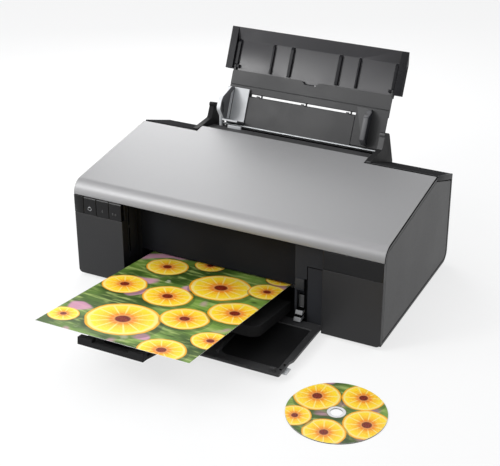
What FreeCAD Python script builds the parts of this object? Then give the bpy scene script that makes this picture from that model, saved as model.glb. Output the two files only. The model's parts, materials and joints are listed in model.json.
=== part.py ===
"""Disc label printer: a wide desktop printer with a rear paper feeder, a front tray and a disc guide.

Frame: +Z up, -Y towards the person using it, +X to that person's right.
Origin: on the underside of the base pan, in the middle of the body's footprint. The feet stand below it.
All sizes are in millimetres and live in the sheet called Dims.
"""
import FreeCAD, Part

import math
import os

import Sketcher

DRIVING = {
    # whole body
    "body_width": 450,  # across the two side panels
    "body_depth": 266,  # from the column fronts to the back of the rear cover
    "part_gap": 0.3,  # left between neighbouring mouldings
    "running_gap": 0.05,  # radial clearance of a shaft in its hole
    "panel_wall": 3,  # side panels, front panels and rear cover
    "foot_height": 4,
    "foot_radius": 9,
    "foot_inset": 28,  # foot centre from the body's sides, front and back
    # base pan
    "pan_floor": 2.5,
    "pan_wall": 2.5,
    "pan_height": 20,
    "pan_front": 12,  # front edge of the floor behind the column fronts
    "pan_back": 16,  # rear wall ahead of the body's back
    "boss_radius": 4,
    "boss_inset": 8,  # from the board's edges
    "boss_height": 11.5,  # top of the bosses that carry the main board
    "rib_width": 3,
    "rib_front": 53,  # paper rest ribs behind the column fronts
    "rib_back": 62,
    "rib_spacing": 76,
    # side panels
    "rear_corner": 15,  # radius of the lower rear corner
    "back_lean": 3.4,  # how far the top of the back stands ahead of its foot
    "deck_back_z": 134.6,  # top of the rear deck at the back
    "side_step": 0.4,  # how far the field lies below the rim
    "side_inset": 1.2,  # depth of the field inside the side panel's rim
    "side_rim": 4,
    "side_groove": 1.6,
    # front columns and their black strips
    "left_column": 75.5,
    "right_column": 81,
    "column_height": 94,
    "strip_height": 26.6,
    "column_corner": 6,
    "left_return": 42,  # depth of the wall at the left of the opening
    "right_return": 11.6,
    "return_wall": 2.5,
    # buttons
    "button_width": 19.2,
    "button_gap": 0.8,
    "button_depth": 6,
    "button_travel": 1.5,
    "button_bevel": 2.2,
    "bezel_wall": 2.5,
    "bezel_filler": 14.6,  # fixed black block outside the buttons
    # lid
    "lid_wall": 2.6,
    "lid_slope": 6.73,  # degrees
    "lid_corner_z": 137.7,  # where the front face and the top would meet
    "lid_front": 0.5,
    "lid_curve": 18.7,
    "lid_depth": 189,
    "lid_tongue": 205,  # rear edge of the part between the towers
    "lid_hinge_y": 187,
    "lid_hinge_drop": 5.2,  # hinge axis below the lid's top
    "lid_knuckle": 3.2,
    "deck_arm_drop": 6.4,  # from the hinge axis to the bottom of the arms under the ears
    "lid_pin": 1.2,
    "lid_pin_x": 200,
    "lid_ear": 8,
    # rear deck
    "deck_wall": 2.5,
    "deck_front": 192.6,
    "deck_bar_z": 136,
    "deck_bar_depth": 12,
    # feeder housing, fins and lean of the paper
    "feeder_x": -7.5,  # middle of the feeder
    "feeder_width": 259,  # between the inner faces of the fins
    "fin_wall": 8,
    "fin_front": 192.6,
    "fin_front_z": 161.5,
    "fin_low_y": 206,
    "fin_low_z": 138.8,
    "fin_shoulder_y": 236,
    "fin_shoulder_z": 163,
    "fin_nose_y": 240,
    "fin_nose_z": 186,
    "fin_notch_y": 243.5,
    "fin_notch_z": 178,
    "fin_peak_y": 263,
    "fin_peak_z": 177,
    "fin_back_y": 281,
    "fin_back_z": 129,
    "fin_foot_y": 252,
    "fin_foot_z": 98.3,
    "fin_base_z": 116,
    "fin_peak_round": 9,
    "fin_nose_round": 3,
    "fin_shoulder_round": 5,
    "chute_lip_y": 207.2,  # front edge of the plate behind the lid
    "chute_lip_z": 157,
    "chute_lip_back_y": 241,
    "chute_lip_back_z": 151,
    "feeder_wall": 2.5,
    "lean": 24.5,  # degrees from upright
    "support_top_y": 298,
    "support_top_z": 219,
    # paper support, in the leaning frame
    "support_side": 3.7,  # between the paper support and each fin
    "support_wall": 5,
    "support_corner": 3,
    "support_panel": 31.5,
    "support_groove_at": 21,
    "groove_size": 0.8,
    "tongue_wall": 2.4,
    "tongue_length": 120,
    "tongue_inset": 6,
    "finger_notch_width": 27,
    "finger_notch_depth": 5,
    "slit_height": 3,
    "slit_top": 32,
    "slit_left_in": 40,  # from the left fin
    "slit_one_in": 55.5,
    "slit_two_off": -2.1,  # from the middle of the feeder
    "slit_three_in": 61.2,  # from the right fin
    "slit_right_in": 50.5,
    "slit_bridge": 2.2,
    # dust cover, in the leaning frame
    "cover_side": 12.7,  # how far the dust cover reaches past the paper support on each side
    "cover_wall": 2,
    "cover_setback": 6,  # front of its panel behind the paper support's front
    "cover_panel_width": 252.5,
    "cover_panel_top": 46,
    "cover_lip_top": 63.5,
    "cover_wing": 11,
    "cover_wing_bottom": 1,
    "cover_wing_setback": -1,
    "cover_rib_height": 3.6,
    "cover_rib_start": 2,
    "cover_rib_thin": 3,
    "cover_rib_thick": 5,
    "cover_rib_thin_x": 67.5,
    "cover_rib_thick_x": 37.8,
    "cover_pin": 1.3,
    "cover_axis_up": 6,  # hinge axis above the paper support's top
    "cover_axis_back": 3.5,  # and behind its front
    "cover_tuck": 4,  # how far the panel reaches down behind the paper support
    "cover_ear": 3,
    "cover_ear_radius": 2.2,
    "cover_knuckle": 4.5,
    "support_lip": 1.2,  # thin front edge left where the cover swings over
    # hopper and edge guides, in the leaning frame
    "hopper_wall": 2,
    "hopper_left_in": 9,  # from the left fin
    "hopper_right_in": 51.8,  # from the right fin
    "hopper_top": 36.5,
    "hopper_bottom": 112,
    "hook_width": 5,
    "hook_height": 3,
    "right_plate_left_in": 51.2,  # from the right fin
    "right_plate_right_in": 3,
    "plate_top": 23,
    "plate_bottom": 78,
    "guide_rim": 6,
    "right_guide_in": 32.5,  # from the right fin
    "right_guide_reach": 22,
    "left_plate_left_in": 14,  # from the left fin
    "left_plate_right_in": 38.7,
    "left_plate_top": 25.5,
    "left_guide_reach": 40,
    "left_guide_foot_reach": 28,
    "left_hollow_near": 6,  # the sunk field in the left guide: from its root to its near and far sides
    "left_hollow_far": 24,
    "left_hollow_down": 5,
    "left_hollow_slope": 20,
    "left_hollow_round": 8,
    "guide_bottom": 76,
    "guide_foot": 2.6,
    "bar_radius": 1.5,
    "bar_down": 81,
    "bar_reach": 6.5,
    # pickup
    "pickup_radius": 14,
    "pickup_width": 24,
    "pickup_x": 46,
    "pickup_shaft": 4,
    "pickup_down": 108,
    "pickup_clear": 0.4,
    "pad_width": 26,
    "pad_depth": 12,
    "pad_height": 4.4,
    "chute_shelf_z": 106,
    "chute_shelf_back": 246,
    "chute_shelf_front": 222,
    "chute_low_y": 166,
    "chute_low_z": 42,
    "chute_wall": 2.5,
    "chute_lip_wall": 3.5,  # thickness at the lower edge
    "chute_width": 246,
    "chute_leg_front": 200,
    "chute_leg_back": 222,
    # front cover
    "cover_plate": 4,
    "cover_lift": 4,  # its underside above the base pan's underside
    "cover_reach": 120,  # front edge ahead of the column fronts
    "cover_hinge_y": 5,
    "cover_hinge_z": 5,
    "cover_barrel": 3.4,
    "cover_pin_radius": 1.5,
    "cover_notch_y": 82,
    "cover_notch": 2.5,
    "cover_notch_slope": 7,
    "cover_corner": 5,
    "pocket_left": 52,
    "pocket_right": 137,
    "pocket_front": 107,
    "pocket_rear": 9,
    "pocket_depth": 1.4,
    "flap_hole_radius": 1.2,  # two small holes beside the pocket
    "flap_hole_in": 5.7,
    "flap_hole_near": 97.5,
    "flap_hole_far": 109,
    "pocket_corner": 12,
    "rail_height": 2.6,
    "rail_width": 3,
    "clip_size": 7,
    "clip_height": 5,
    # exit frame, disc guide and lever
    "frame_wall": 2.5,
    "frame_top": 119,
    "frame_front": 12,
    "frame_back_y": 47,
    "frame_window_top": 66,
    "guide_left_x": -143.2,
    "guide_right_x": 101,
    "guide_bottom_z": 38.5,
    "guide_top_z": 118.4,
    "guide_front_y": 38,
    "guide_wall": 6,
    "guide_rib": 1.2,
    "guide_hinge_up": 3,
    "guide_pin": 1.5,
    "guide_pin_length": 5,
    "lever_left": 105.5,
    "lever_right": 115.5,
    "lever_top": 40.5,
    "lever_low": 9.5,
    "lever_wall": 3,
    "lever_y": 16,
    "lever_tab_reach": 17,
    "lever_tab": 5,
    "lever_tab_gap": 2.6,
    "slot_left": 104.2,
    "slot_right": 117.2,
    "slot_top": 52,
    # stacker and its extension, in the tray's sloping frame
    "tray_slope": 8.06,  # degrees
    "tray_y": 20,
    "tray_z": 8,
    "tray_left": -139,
    "tray_right": 92,
    "tray_length": 101,
    "tray_height": 15,
    "tray_corner": 15,
    "tray_wall": 2.4,
    "arm_width": 90,
    "arm_x": -24,
    "arm_wall": 4,
    "arm_height": 5,
    "arm_back": 48,
    "arm_bend": 182,
    "arm_end": 257,
    "arm_rise": 8,
    "arm_lip": 9,
    "arm_tab_top": 22.7,
    "arm_bar_top": 19.5,
    "arm_tab": 20,
    "arm_rest_y": 234,
    "sheet_width": 210,
    "sheet_length": 297,
    "sheet_wall": 0.3,
    "sheet_x": -23.5,
    "sheet_front": 258,
    "sheet_height": 29,
    # disc
    "disc_diameter": 120,
    "disc_bore": 15,
    "disc_wall": 1.2,
    "disc_x": 227,
    "disc_y": 145,
    "disc_ring": 17,
    "disc_ring_height": 0.3,
    # chassis and carriage
    "chassis_wall": 1.5,
    "chassis_x": 206,
    "chassis_front": 66,
    "chassis_back": 200,
    "chassis_top": 104,
    "chassis_plate_y": 174,
    "chassis_plate_z": 46,
    "chassis_window_top": 66,
    "shelf_z": 77.5,
    "shelf_length": 32,
    "rod_radius": 4,
    "rod_y": 141,
    "rod_z": 64,
    "carriage_left": 112,
    "carriage_width": 86,
    "carriage_front": 86,
    "carriage_back": 148.4,
    "carriage_floor": 50,
    "carriage_top": 96,
    "carriage_wall": 2.5,
    "carriage_block": 133,
    "carriage_block_floor": 54,
    "carriage_dip": 12,
    "clamp_width": 16,
    "head_left": 124,
    "head_width": 62,
    "head_front": 94,
    "head_back": 128,
    "head_height": 9.7,
    "head_recess": 0.8,
    "cartridge_width": 12.4,
    "cartridge_pitch": 13.2,
    "cartridge_height": 50,
    "cartridge_depth": 40,
    "cartridge_round": 3,
    "pulley_radius": 8,
    "pulley_width": 6,
    "pulley_flange": 1,
    "pulley_x": 188,
    "pulley_y": 160.5,
    "pulley_pin": 1.5,
    "belt_wall": 1.2,
    "belt_width": 5.4,
    "motor_radius": 12,
    "motor_height": 30,
    "encoder_y": 149.2,
    "encoder_z": 90,
    "encoder_height": 8,
    "encoder_wall": 0.4,
    # paper drive
    "roller_z": 30,
    "feed_y": 152,
    "feed_radius": 8,
    "eject_radius": 7.6,
    "shaft_radius": 4,
    "roller_left": -196,
    "roller_right": 104,
    "gear_module": 1,
    "feed_teeth": 40,
    "idler_teeth": 38,
    "pinion_teeth": 16,
    "gear_width": 6,
    "gear_x": -216,
    "tooth_top": 0.8,
    "tooth_root": 1.9,
    "tooth_up": 0.85,
    "tooth_down": 1.2,
    "pinch_radius": 4,
    "pinch_width": 30,
    "pinch_pitch": 60,
    "pinch_margin": 15,
    "pinch_shaft": 1.5,
    "feed_motor_radius": 13,
    "feed_motor_length": 34,
    "platen_front": 84,
    "platen_back": 138,
    "platen_z": 26,
    "platen_height": 9.5,
    "platen_rib": 1.4,
    "platen_leg": 6,
    "cap_left": 114,
    "cap_right": 196,
    "cap_front": 92,
    "cap_back": 130,
    "cap_top": 36,
    "cap_cup": 3.4,
    "pad_front": 88,
    "waste_back": 140,
    "waste_top": 14,
    # electrics
    "board_left": -90,
    "board_right": 90,
    "board_front_in": 84,  # from the back of the body
    "board_back_in": 22,
    "board_wall": 1.6,
    "chip_height": 3,
    "supply_left": -204,
    "supply_right": -142,
    "supply_front_in": 69,  # from the back of the body
    "supply_back_in": 26,
    "supply_top": 52,
    "inlet_x": -172,
    "inlet_width": 27,
    "inlet_height": 20,
    "inlet_z": 24,
    "inlet_wall": 2,
    "inlet_pin": 1.6,
    "inlet_pin_spread": 5,
    "vent_pitch": 10,
    "usb_x": 60,
    "usb_width": 12,
    "usb_tongue_in": 4,
    "usb_tongue_up": 3.6,
    "usb_height": 11,
    "usb_wall": 1,
    # screws
    "screw_head": 3.2,
    "screw_head_height": 1.8,
    "screw_shank": 1.5,
    "screw_length": 10,
    "screw_x": 205,
    "screw_low": 40,
    "screw_high": 112,
}

doc = FreeCAD.newDocument("DiscLabelPrinter")
sheet = doc.addObject("Spreadsheet::Sheet", "Dims")
for row, (alias, amount) in enumerate(DRIVING.items(), start=1):
    sheet.set("A%d" % row, str(amount))
    sheet.setAlias("A%d" % row, alias)
doc.recompute()


class Size:
    """A number that carries the sheet expression it comes from."""

    def __init__(self, value, text):
        self.value = float(value)
        self.text = text

    def __add__(self, other):
        other = as_size(other)
        return Size(self.value + other.value, "(%s + %s)" % (self.text, other.text))

    def __sub__(self, other):
        other = as_size(other)
        return Size(self.value - other.value, "(%s - %s)" % (self.text, other.text))

    def __mul__(self, other):
        other = as_size(other)
        return Size(self.value * other.value, "%s * %s" % (self.text, other.text))

    def __truediv__(self, other):
        other = as_size(other)
        return Size(self.value / other.value, "%s / (%s)" % (self.text, other.text))

    def __neg__(self):
        return Size(-self.value, "(0 - %s)" % self.text)

    def __radd__(self, other):
        return as_size(other) + self

    def __rsub__(self, other):
        return as_size(other) - self

    def __rmul__(self, other):
        return as_size(other) * self


def as_size(number):
    """Numbers stay numbers in an expression; sizes keep their own text."""
    if isinstance(number, Size):
        return number
    return Size(number, "(%.6f)" % number if number < 0 else "%.6f" % number)


def sine(angle):
    return Size(math.sin(math.radians(angle.value)), "sin(%s)" % angle.text)


def cosine(angle):
    return Size(math.cos(math.radians(angle.value)), "cos(%s)" % angle.text)


def tangent(angle):
    return Size(math.tan(math.radians(angle.value)), "tan(%s)" % angle.text)


class Dims:
    """Reads every driving size back from the sheet, by its alias."""

    def __getattr__(self, alias):
        return Size(float(sheet.get(alias)), "Dims.%s" % alias)


d = Dims()

PLANES = {"along_x": "YZ_Plane", "along_y": "XZ_Plane", "along_z": "XY_Plane"}
X_AXIS = FreeCAD.Vector(1, 0, 0)
Y_AXIS = FreeCAD.Vector(0, 1, 0)
Z_AXIS = FreeCAD.Vector(0, 0, 1)
sub_parts = []


def bind(thing, path, amount):
    """Ties one property to the sheet."""
    thing.setExpression(path, as_size(amount).text)


def keep(thing, label):
    """Names a finished sub-part, which is written to a file of that name."""
    thing.Label = label
    sub_parts.append(thing)
    return thing


# ---------------------------------------------------------------- primitives


def box(name, x, y, z):
    """A block between the given (low, high) limits."""
    block = doc.addObject("Part::Box", name)
    for side, axis, (low, high) in (("Length", "x", x), ("Width", "y", y), ("Height", "z", z)):
        bind(block, side, as_size(high) - as_size(low))
        bind(block, "Placement.Base.%s" % axis, low)
    return block


def rod(name, direction, radius, low, high, first, second):
    """A cylinder along x, y or z from low to high; first and second are its other two coordinates."""
    bar = doc.addObject("Part::Cylinder", name)
    bind(bar, "Radius", radius)
    bind(bar, "Height", as_size(high) - as_size(low))
    turns = {
        "x": FreeCAD.Rotation(Y_AXIS, 90),
        "y": FreeCAD.Rotation(X_AXIS, -90),
        "z": FreeCAD.Rotation(),
    }
    places = {
        "x": (low, first, second),
        "y": (first, low, second),
        "z": (first, second, low),
    }
    bar.Placement = FreeCAD.Placement(FreeCAD.Vector(), turns[direction])
    for axis, amount in zip("xyz", places[direction]):
        bind(bar, "Placement.Base.%s" % axis, amount)
    return bar


def fuse(name, *pieces):
    joined = doc.addObject("Part::MultiFuse", name)
    joined.Shapes = list(pieces)
    joined.Refine = True
    return joined


def cut(name, base, *tools):
    result = doc.addObject("Part::Cut", name)
    result.Base = base
    result.Tool = tools[0] if len(tools) == 1 else fuse(name + "_tools", *tools)
    return result


def group(name, *pieces):
    """Separate solids that share one node."""
    together = doc.addObject("Part::Compound", name)
    together.Links = list(pieces)
    return together


# ------------------------------------------------------------------ sketches


def numeric(corner):
    return FreeCAD.Vector(as_size(corner[0]).value, as_size(corner[1]).value, 0)


def pin_point(sketch, shape, end, corner):
    """Holds one point of the sketch at its two distances from the origin."""
    for kind, amount in (("DistanceX", corner[0]), ("DistanceY", corner[1])):
        amount = as_size(amount)
        number = sketch.addConstraint(Sketcher.Constraint(kind, -1, 1, shape, end, amount.value))
        sketch.setExpression("Constraints[%d]" % number, amount.text)


def trimmed(points, index, radius):
    """Where a rounded corner's arc meets its two edges, and the arc's centre."""
    here = points[index]
    to_last = (points[index - 1] - here).normalize()
    to_next = (points[(index + 1) % len(points)] - here).normalize()
    half_angle = to_last.getAngle(to_next) / 2
    reach = radius / math.tan(half_angle)
    centre = here + (to_last + to_next).normalize() * (radius / math.sin(half_angle))
    turns_left = to_last.cross(to_next).z < 0
    return here + to_last * reach, here + to_next * reach, centre, turns_left


def draw_outline(sketch, corners, rounds):
    """Draws a closed outline; a corner named in rounds gets a tangent arc of that radius."""
    points = [numeric(corner) for corner in corners]
    count = len(points)
    starts = list(points)
    ends = [points[(index + 1) % count] for index in range(count)]
    arcs = {}
    for index, radius in rounds.items():
        last, after, centre, left = trimmed(points, index, as_size(radius).value)
        ends[index - 1] = last
        starts[index] = after
        arcs[index] = (last, after, centre, left)
    lines = [sketch.addGeometry(Part.LineSegment(starts[i], ends[i]), False) for i in range(count)]
    for index, corner in enumerate(corners):
        if index not in arcs:
            sketch.addConstraint(Sketcher.Constraint("Coincident", lines[index - 1], 2, lines[index], 1))
            pin_point(sketch, lines[index], 1, corner)
            continue
        last, after, centre, left = arcs[index]
        radius = as_size(rounds[index])
        first, second = (last, after) if left else (after, last)
        angles = [math.atan2(p.y - centre.y, p.x - centre.x) for p in (first, second)]
        circle = Part.Circle(centre, Z_AXIS, radius.value)
        arc = sketch.addGeometry(Part.ArcOfCircle(circle, angles[0], angles[1]), False)
        sharp = sketch.addGeometry(Part.Point(points[index]), True)
        sketch.addConstraint(Sketcher.Constraint("Tangent", lines[index - 1], 2, arc, 1 if left else 2))
        sketch.addConstraint(Sketcher.Constraint("Tangent", lines[index], 1, arc, 2 if left else 1))
        number = sketch.addConstraint(Sketcher.Constraint("Radius", arc, radius.value))
        sketch.setExpression("Constraints[%d]" % number, radius.text)
        sketch.addConstraint(Sketcher.Constraint("PointOnObject", sharp, 1, lines[index - 1]))
        sketch.addConstraint(Sketcher.Constraint("PointOnObject", sharp, 1, lines[index]))
        pin_point(sketch, sharp, 1, corner)


def new_sketch(body, name, direction):
    sketch = body.newObject("Sketcher::SketchObject", name)
    role = PLANES[direction]
    plane = [item for item in body.Origin.OriginFeatures if item.Role == role][0]
    sketch.AttachmentSupport = (plane, [""])
    sketch.MapMode = "FlatFace"
    return sketch


def prism(name, direction, corners, low, high, rounds=None):
    """A padded outline: (y, z) corners along x, (x, z) along y, or (x, y) along z."""
    body = doc.addObject("PartDesign::Body", name)
    sketch = new_sketch(body, name + "_outline", direction)
    draw_outline(sketch, corners, rounds or {})
    pad = body.newObject("PartDesign::Pad", name + "_pad")
    pad.Profile = sketch
    bind(pad, "Length", as_size(high) - as_size(low))
    pad.Reversed = direction == "along_y"
    sketch.Visibility = False
    bind(body, ".Placement.Base.%s" % direction[-1], low)
    return body


def tilt(thing, angle, pivot_y, pivot_z, x=0):
    """Leans a finished piece back about X and stands its own origin at the pivot."""
    thing.Placement = FreeCAD.Placement(FreeCAD.Vector(), FreeCAD.Rotation(X_AXIS, -angle.value))
    bind(thing, ".Placement.Rotation.Angle", -angle)
    bind(thing, ".Placement.Base.x", x)
    bind(thing, ".Placement.Base.y", pivot_y)
    bind(thing, ".Placement.Base.z", pivot_z)
    return thing


# ------------------------------------------------------------ shared places

half = d.body_width / 2
front = -d.body_depth / 2
gap = d.part_gap
loose = d.running_gap


def behind(amount):
    """A place this far behind the column fronts."""
    return front + amount


inner_x = half - d.panel_wall - gap  # parts between the two side panels reach this far
opening_left = d.left_column - half
opening_right = half - d.right_column
strip_low = d.column_height + gap
strip_top = d.column_height + d.strip_height
lid_low = strip_top + gap
back_low = behind(d.body_depth)
back_high = behind(d.body_depth - d.back_lean)


def lid_top(depth):
    """Height of the lid's top surface this far behind the column fronts."""
    return d.lid_corner_z + (depth - d.lid_front) * tangent(d.lid_slope)


deck_front_z = lid_top(d.deck_front)
deck_drop = (deck_front_z - d.deck_back_z) / (d.body_depth - d.back_lean - d.deck_front)


def deck_top(depth):
    """Height of the rear deck's top surface."""
    return deck_front_z - (depth - d.deck_front) * deck_drop


fin_left = d.feeder_x - d.feeder_width / 2
fin_right = d.feeder_x + d.feeder_width / 2
support_half = d.feeder_width / 2 - d.support_side
cover_half = support_half + d.cover_side
hopper_left = fin_left + d.hopper_left_in
hopper_right = fin_right - d.hopper_right_in
left_plate_left = fin_left + d.left_plate_left_in
left_plate_right = fin_left + d.left_plate_right_in
right_plate_left = fin_right - d.right_plate_left_in
right_plate_right = fin_right - d.right_plate_right_in
right_guide_x = fin_right - d.right_guide_in
slit_edges = [
    fin_left + d.slit_left_in,
    fin_left + d.slit_one_in,
    d.feeder_x + d.slit_two_off,
    fin_right - d.slit_three_in,
    fin_right - d.slit_right_in,
]
board_front = behind(d.body_depth - d.board_front_in)
board_back = behind(d.body_depth - d.board_back_in)
supply_front = behind(d.body_depth - d.supply_front_in)
supply_back = behind(d.body_depth - d.supply_back_in)


def lean_place(down, back):
    """World (y, z) of a point of the leaning frame."""
    y = behind(d.support_top_y) - down * sine(d.lean) + back * cosine(d.lean)
    z = d.support_top_z - down * cosine(d.lean) - back * sine(d.lean)
    return y, z


def leaning(thing, x=0):
    return tilt(thing, d.lean, behind(d.support_top_y), d.support_top_z, x)


def on_tray(thing, x=0):
    return tilt(thing, d.tray_slope, behind(d.tray_y), d.tray_z, x)


# -------------------------------------------------------------- base and feet


def make_base_pan():
    """An open tray that carries the chassis."""
    rear = behind(d.body_depth - d.pan_back)
    start = behind(d.pan_front)
    shell = box("pan_block", (-inner_x, inner_x), (start, rear), (0, d.pan_height))
    hollow = box(
        "pan_hollow",
        (-inner_x + d.pan_wall, inner_x - d.pan_wall),
        (start - 1, rear - d.pan_wall),
        (d.pan_floor, d.pan_height + 1),
    )
    corner_notches = [
        box(
            "pan_notch_%s" % side,
            limits,
            (start - 1, behind(d.left_return) + gap),
            (d.pan_floor, d.pan_height + 1),
        )
        for side, limits in (("left", (-inner_x - 1, opening_left)), ("right", (opening_right, inner_x + 1)))
    ]
    socket_notch = box(
        "pan_socket_notch",
        (d.usb_x - gap, d.usb_x + d.usb_width + gap),
        (rear - d.pan_wall - 1, rear + 1),
        (usb_low() - gap, d.pan_height + 1),
    )
    return keep(cut("base_pan", shell, hollow, socket_notch, *corner_notches), "base_pan")


def make_pan_posts():
    """Bosses for the board and ribs under the paper's end, each standing on the pan's floor."""
    extras = []
    for x in (d.board_left + d.boss_inset, d.board_right - d.boss_inset):
        for y in (board_front + d.boss_inset, board_back - d.boss_inset):
            number = len(extras)
            extras.append(
                rod("pan_boss_%d" % number, "z", d.boss_radius, d.pan_floor, d.boss_height, x, y)
            )
    ends = []
    for depth in (d.rib_front, d.rib_back):
        y = behind(depth)
        under = paper_under(depth) - gap
        ends.append((y, under))
    for place in (-1, 0, 1):
        middle = d.sheet_x + d.rib_spacing * place
        outline = [(ends[0][0], d.pan_floor), (ends[1][0], d.pan_floor), ends[1], ends[0]]
        extras.append(
            prism(
                "pan_rib_%d" % (place + 1),
                "along_x",
                outline,
                middle - d.rib_width / 2,
                middle + d.rib_width / 2,
            )
        )
    return keep(group("pan_posts", *extras), "pan_posts")


def paper_under(depth):
    """Height of the paper's underside this far behind the column fronts."""
    across = (depth - d.tray_y) * tangent(d.tray_slope)
    return d.tray_z + d.sheet_height / cosine(d.tray_slope) - across


def make_feet():
    feet = []
    for x in (-half + d.foot_inset, half - d.foot_inset):
        for y in (behind(d.foot_inset), behind(d.body_depth - d.foot_inset)):
            feet.append(rod("foot_%d" % len(feet), "z", d.foot_radius, -d.foot_height, 0, x, y))
    return keep(group("feet", *feet), "feet")


# ---------------------------------------------------------------- outer shell


def side_outline(inset, start):
    """The side panel's outline, drawn inwards by the inset."""
    top = d.deck_wall + 2 * gap
    corners = [
        (behind(start), inset),
        (back_low - inset, inset),
        (back_high - inset, deck_top(d.body_depth - d.back_lean) - top - inset),
        (behind(d.deck_front), deck_front_z - top - inset),
        (behind(start), lid_top(start) - top - inset),
    ]
    rounds = {1: d.rear_corner - inset, 4: d.lid_curve - start - inset / 2}
    return corners, rounds


def make_side_panel(name, low, high, outer_low, outer_high):
    """A side wall whose outer face has a rim, a groove and a slightly sunk field."""
    start = d.panel_wall + gap
    corners, rounds = side_outline(gap, start)
    plate = prism(name + "_plate", "along_x", corners, low, high, rounds)
    corners, rounds = side_outline(d.side_rim, start + d.side_rim)
    field = prism(name + "_field", "along_x", corners, outer_low, outer_high, rounds)
    corners, rounds = side_outline(d.side_rim + d.side_groove, start + d.side_rim + d.side_groove)
    island_low = outer_low if name.startswith("right") else outer_low + d.side_step
    island_high = outer_high - d.side_step if name.startswith("right") else outer_high
    island = prism(name + "_island", "along_x", corners, island_low, island_high, rounds)
    ring = cut(name + "_ring", field, island)
    relief = box(
        name + "_relief",
        (low - 1, high + 1),
        (behind(d.lid_hinge_y + d.lid_pin), behind(d.deck_front) + gap),
        (lid_top(d.lid_hinge_y) - d.lid_hinge_drop + gap, deck_front_z),
    )
    return keep(cut(name, plate, ring, relief), name)


def make_side_panels():
    right_low = half - d.panel_wall
    make_side_panel("right_side_panel", right_low, half, half - d.side_inset, half)
    make_side_panel("left_side_panel", -half, -right_low, -half, -half + d.side_inset)


def make_front_panel(name, low, high, inner_low, inner_high, depth, corner, seat):
    """The lower front of a column, with the wall that turns back into the opening."""
    face = prism(
        name + "_face",
        "along_y",
        [(low, gap), (high, gap), (high, d.column_height), (low, d.column_height)],
        front,
        behind(d.panel_wall),
        {corner: d.column_corner},
    )
    wall = box(name + "_wall", (inner_low, inner_high), (front, behind(depth)), (d.pan_floor + gap, strip_top))
    bore = rod(
        name + "_bore",
        "x",
        d.cover_pin_radius + loose,
        inner_low - 1,
        inner_high + 1,
        behind(d.cover_hinge_y),
        d.cover_hinge_z,
    )
    pocket = box(
        name + "_pocket",
        (low - 1, high + 1),
        (front - 1, behind(seat) + gap),
        (d.column_height, strip_top + 1),
    )
    return keep(cut(name, fuse(name + "_joined", face, wall), bore, pocket), name)


def make_front_panels():
    make_front_panel(
        "left_front_panel",
        -half,
        opening_left,
        opening_left - d.return_wall,
        opening_left,
        d.left_return,
        0,
        d.button_depth + d.button_travel,
    )
    make_front_panel(
        "right_front_panel",
        opening_right,
        half,
        opening_right,
        opening_right + d.return_wall,
        d.right_return,
        1,
        d.panel_wall,
    )


def make_right_trim():
    strip = box(
        "right_trim_strip", (opening_right, half), (front, behind(d.panel_wall)), (strip_low, strip_top)
    )
    return keep(strip, "right_trim_strip")


def make_buttons():
    """A fixed black block with the plate behind the buttons, and three caps that press into it."""
    back = behind(d.button_depth + d.button_travel + gap)
    plate = box(
        "bezel_plate",
        (-inner_x, opening_left - d.return_wall - gap),
        (back, back + d.bezel_wall),
        (strip_low, strip_top),
    )
    filler = box(
        "bezel_filler_block", (-half, -half + d.bezel_filler), (front, behind(d.panel_wall)), (strip_low, strip_top)
    )
    bridge = box(
        "bezel_bridge",
        (-inner_x, -half + d.bezel_filler),
        (behind(d.panel_wall) - 1, back + 1),
        (strip_low, strip_top),
    )
    keep(fuse("button_bezel", plate, filler, bridge), "button_bezel")
    left = -half + d.bezel_filler + d.button_gap
    for number, name in enumerate(("power_button", "ink_button", "paper_button")):
        start = left + number * (d.button_width + d.button_gap)
        outline = [
            (front, strip_low),
            (behind(d.button_depth), strip_low),
            (behind(d.button_depth), strip_top),
            (behind(d.button_bevel), strip_top),
            (front, strip_top - d.button_bevel),
        ]
        keep(prism(name, "along_x", outline, start, start + d.button_width), name)


def make_rear_cover():
    """The back wall, which turns under the body, with openings for the feeder and the two sockets."""
    skin = d.panel_wall
    edge = d.body_depth - d.pan_back + gap
    top = d.deck_back_z - d.deck_wall - gap
    outline = [
        (behind(edge), gap),
        (back_low, gap),
        (back_high, top),
        (back_high - skin, top),
        (back_low - skin, gap + skin),
        (behind(edge), gap + skin),
    ]
    wall = prism(
        "rear_wall", "along_x", outline, -inner_x, inner_x, {1: d.rear_corner, 4: d.rear_corner - skin}
    )
    reach = (back_high - 2 * skin, back_low + 1)
    notch = box(
        "rear_notch",
        (fin_left - d.fin_wall - gap, fin_right + d.fin_wall + gap),
        reach,
        (d.fin_foot_z - gap, top + 1),
    )
    inlet = box(
        "rear_inlet_hole",
        (d.inlet_x - gap, d.inlet_x + d.inlet_width + gap),
        reach,
        (d.inlet_z - gap, d.inlet_z + d.inlet_height + gap),
    )
    socket = box(
        "rear_usb_hole",
        (d.usb_x - gap, d.usb_x + d.usb_width + gap),
        reach,
        (usb_low() - gap, usb_low() + d.usb_height + gap),
    )
    holes = [
        rod("rear_screw_hole_%d" % number, "y", d.screw_shank + loose, reach[0], reach[1], x, z)
        for number, (x, z) in enumerate(screw_places())
    ]
    return keep(cut("rear_cover", wall, notch, inlet, socket, *holes), "rear_cover")


def screw_places():
    return [(x, z) for x in (-d.screw_x, d.screw_x) for z in (d.screw_low, d.screw_high)]


def back_face(height):
    """Where the outer face of the back stands at this height."""
    return back_low - (height - gap) * d.back_lean / (d.deck_back_z - d.deck_wall - 2 * gap)


def make_screws():
    screws = []
    for number, (x, z) in enumerate(screw_places()):
        seat = back_face(z - d.screw_head) + gap
        head = rod("screw_head_%d" % number, "y", d.screw_head, seat, seat + d.screw_head_height, x, z)
        shank = rod("screw_shank_%d" % number, "y", d.screw_shank, seat - d.screw_length, seat + 1, x, z)
        screws.append(fuse("screw_%d" % number, head, shank))
    return keep(group("case_screws", *screws), "case_screws")


def usb_low():
    return d.boss_height + d.board_wall


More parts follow.
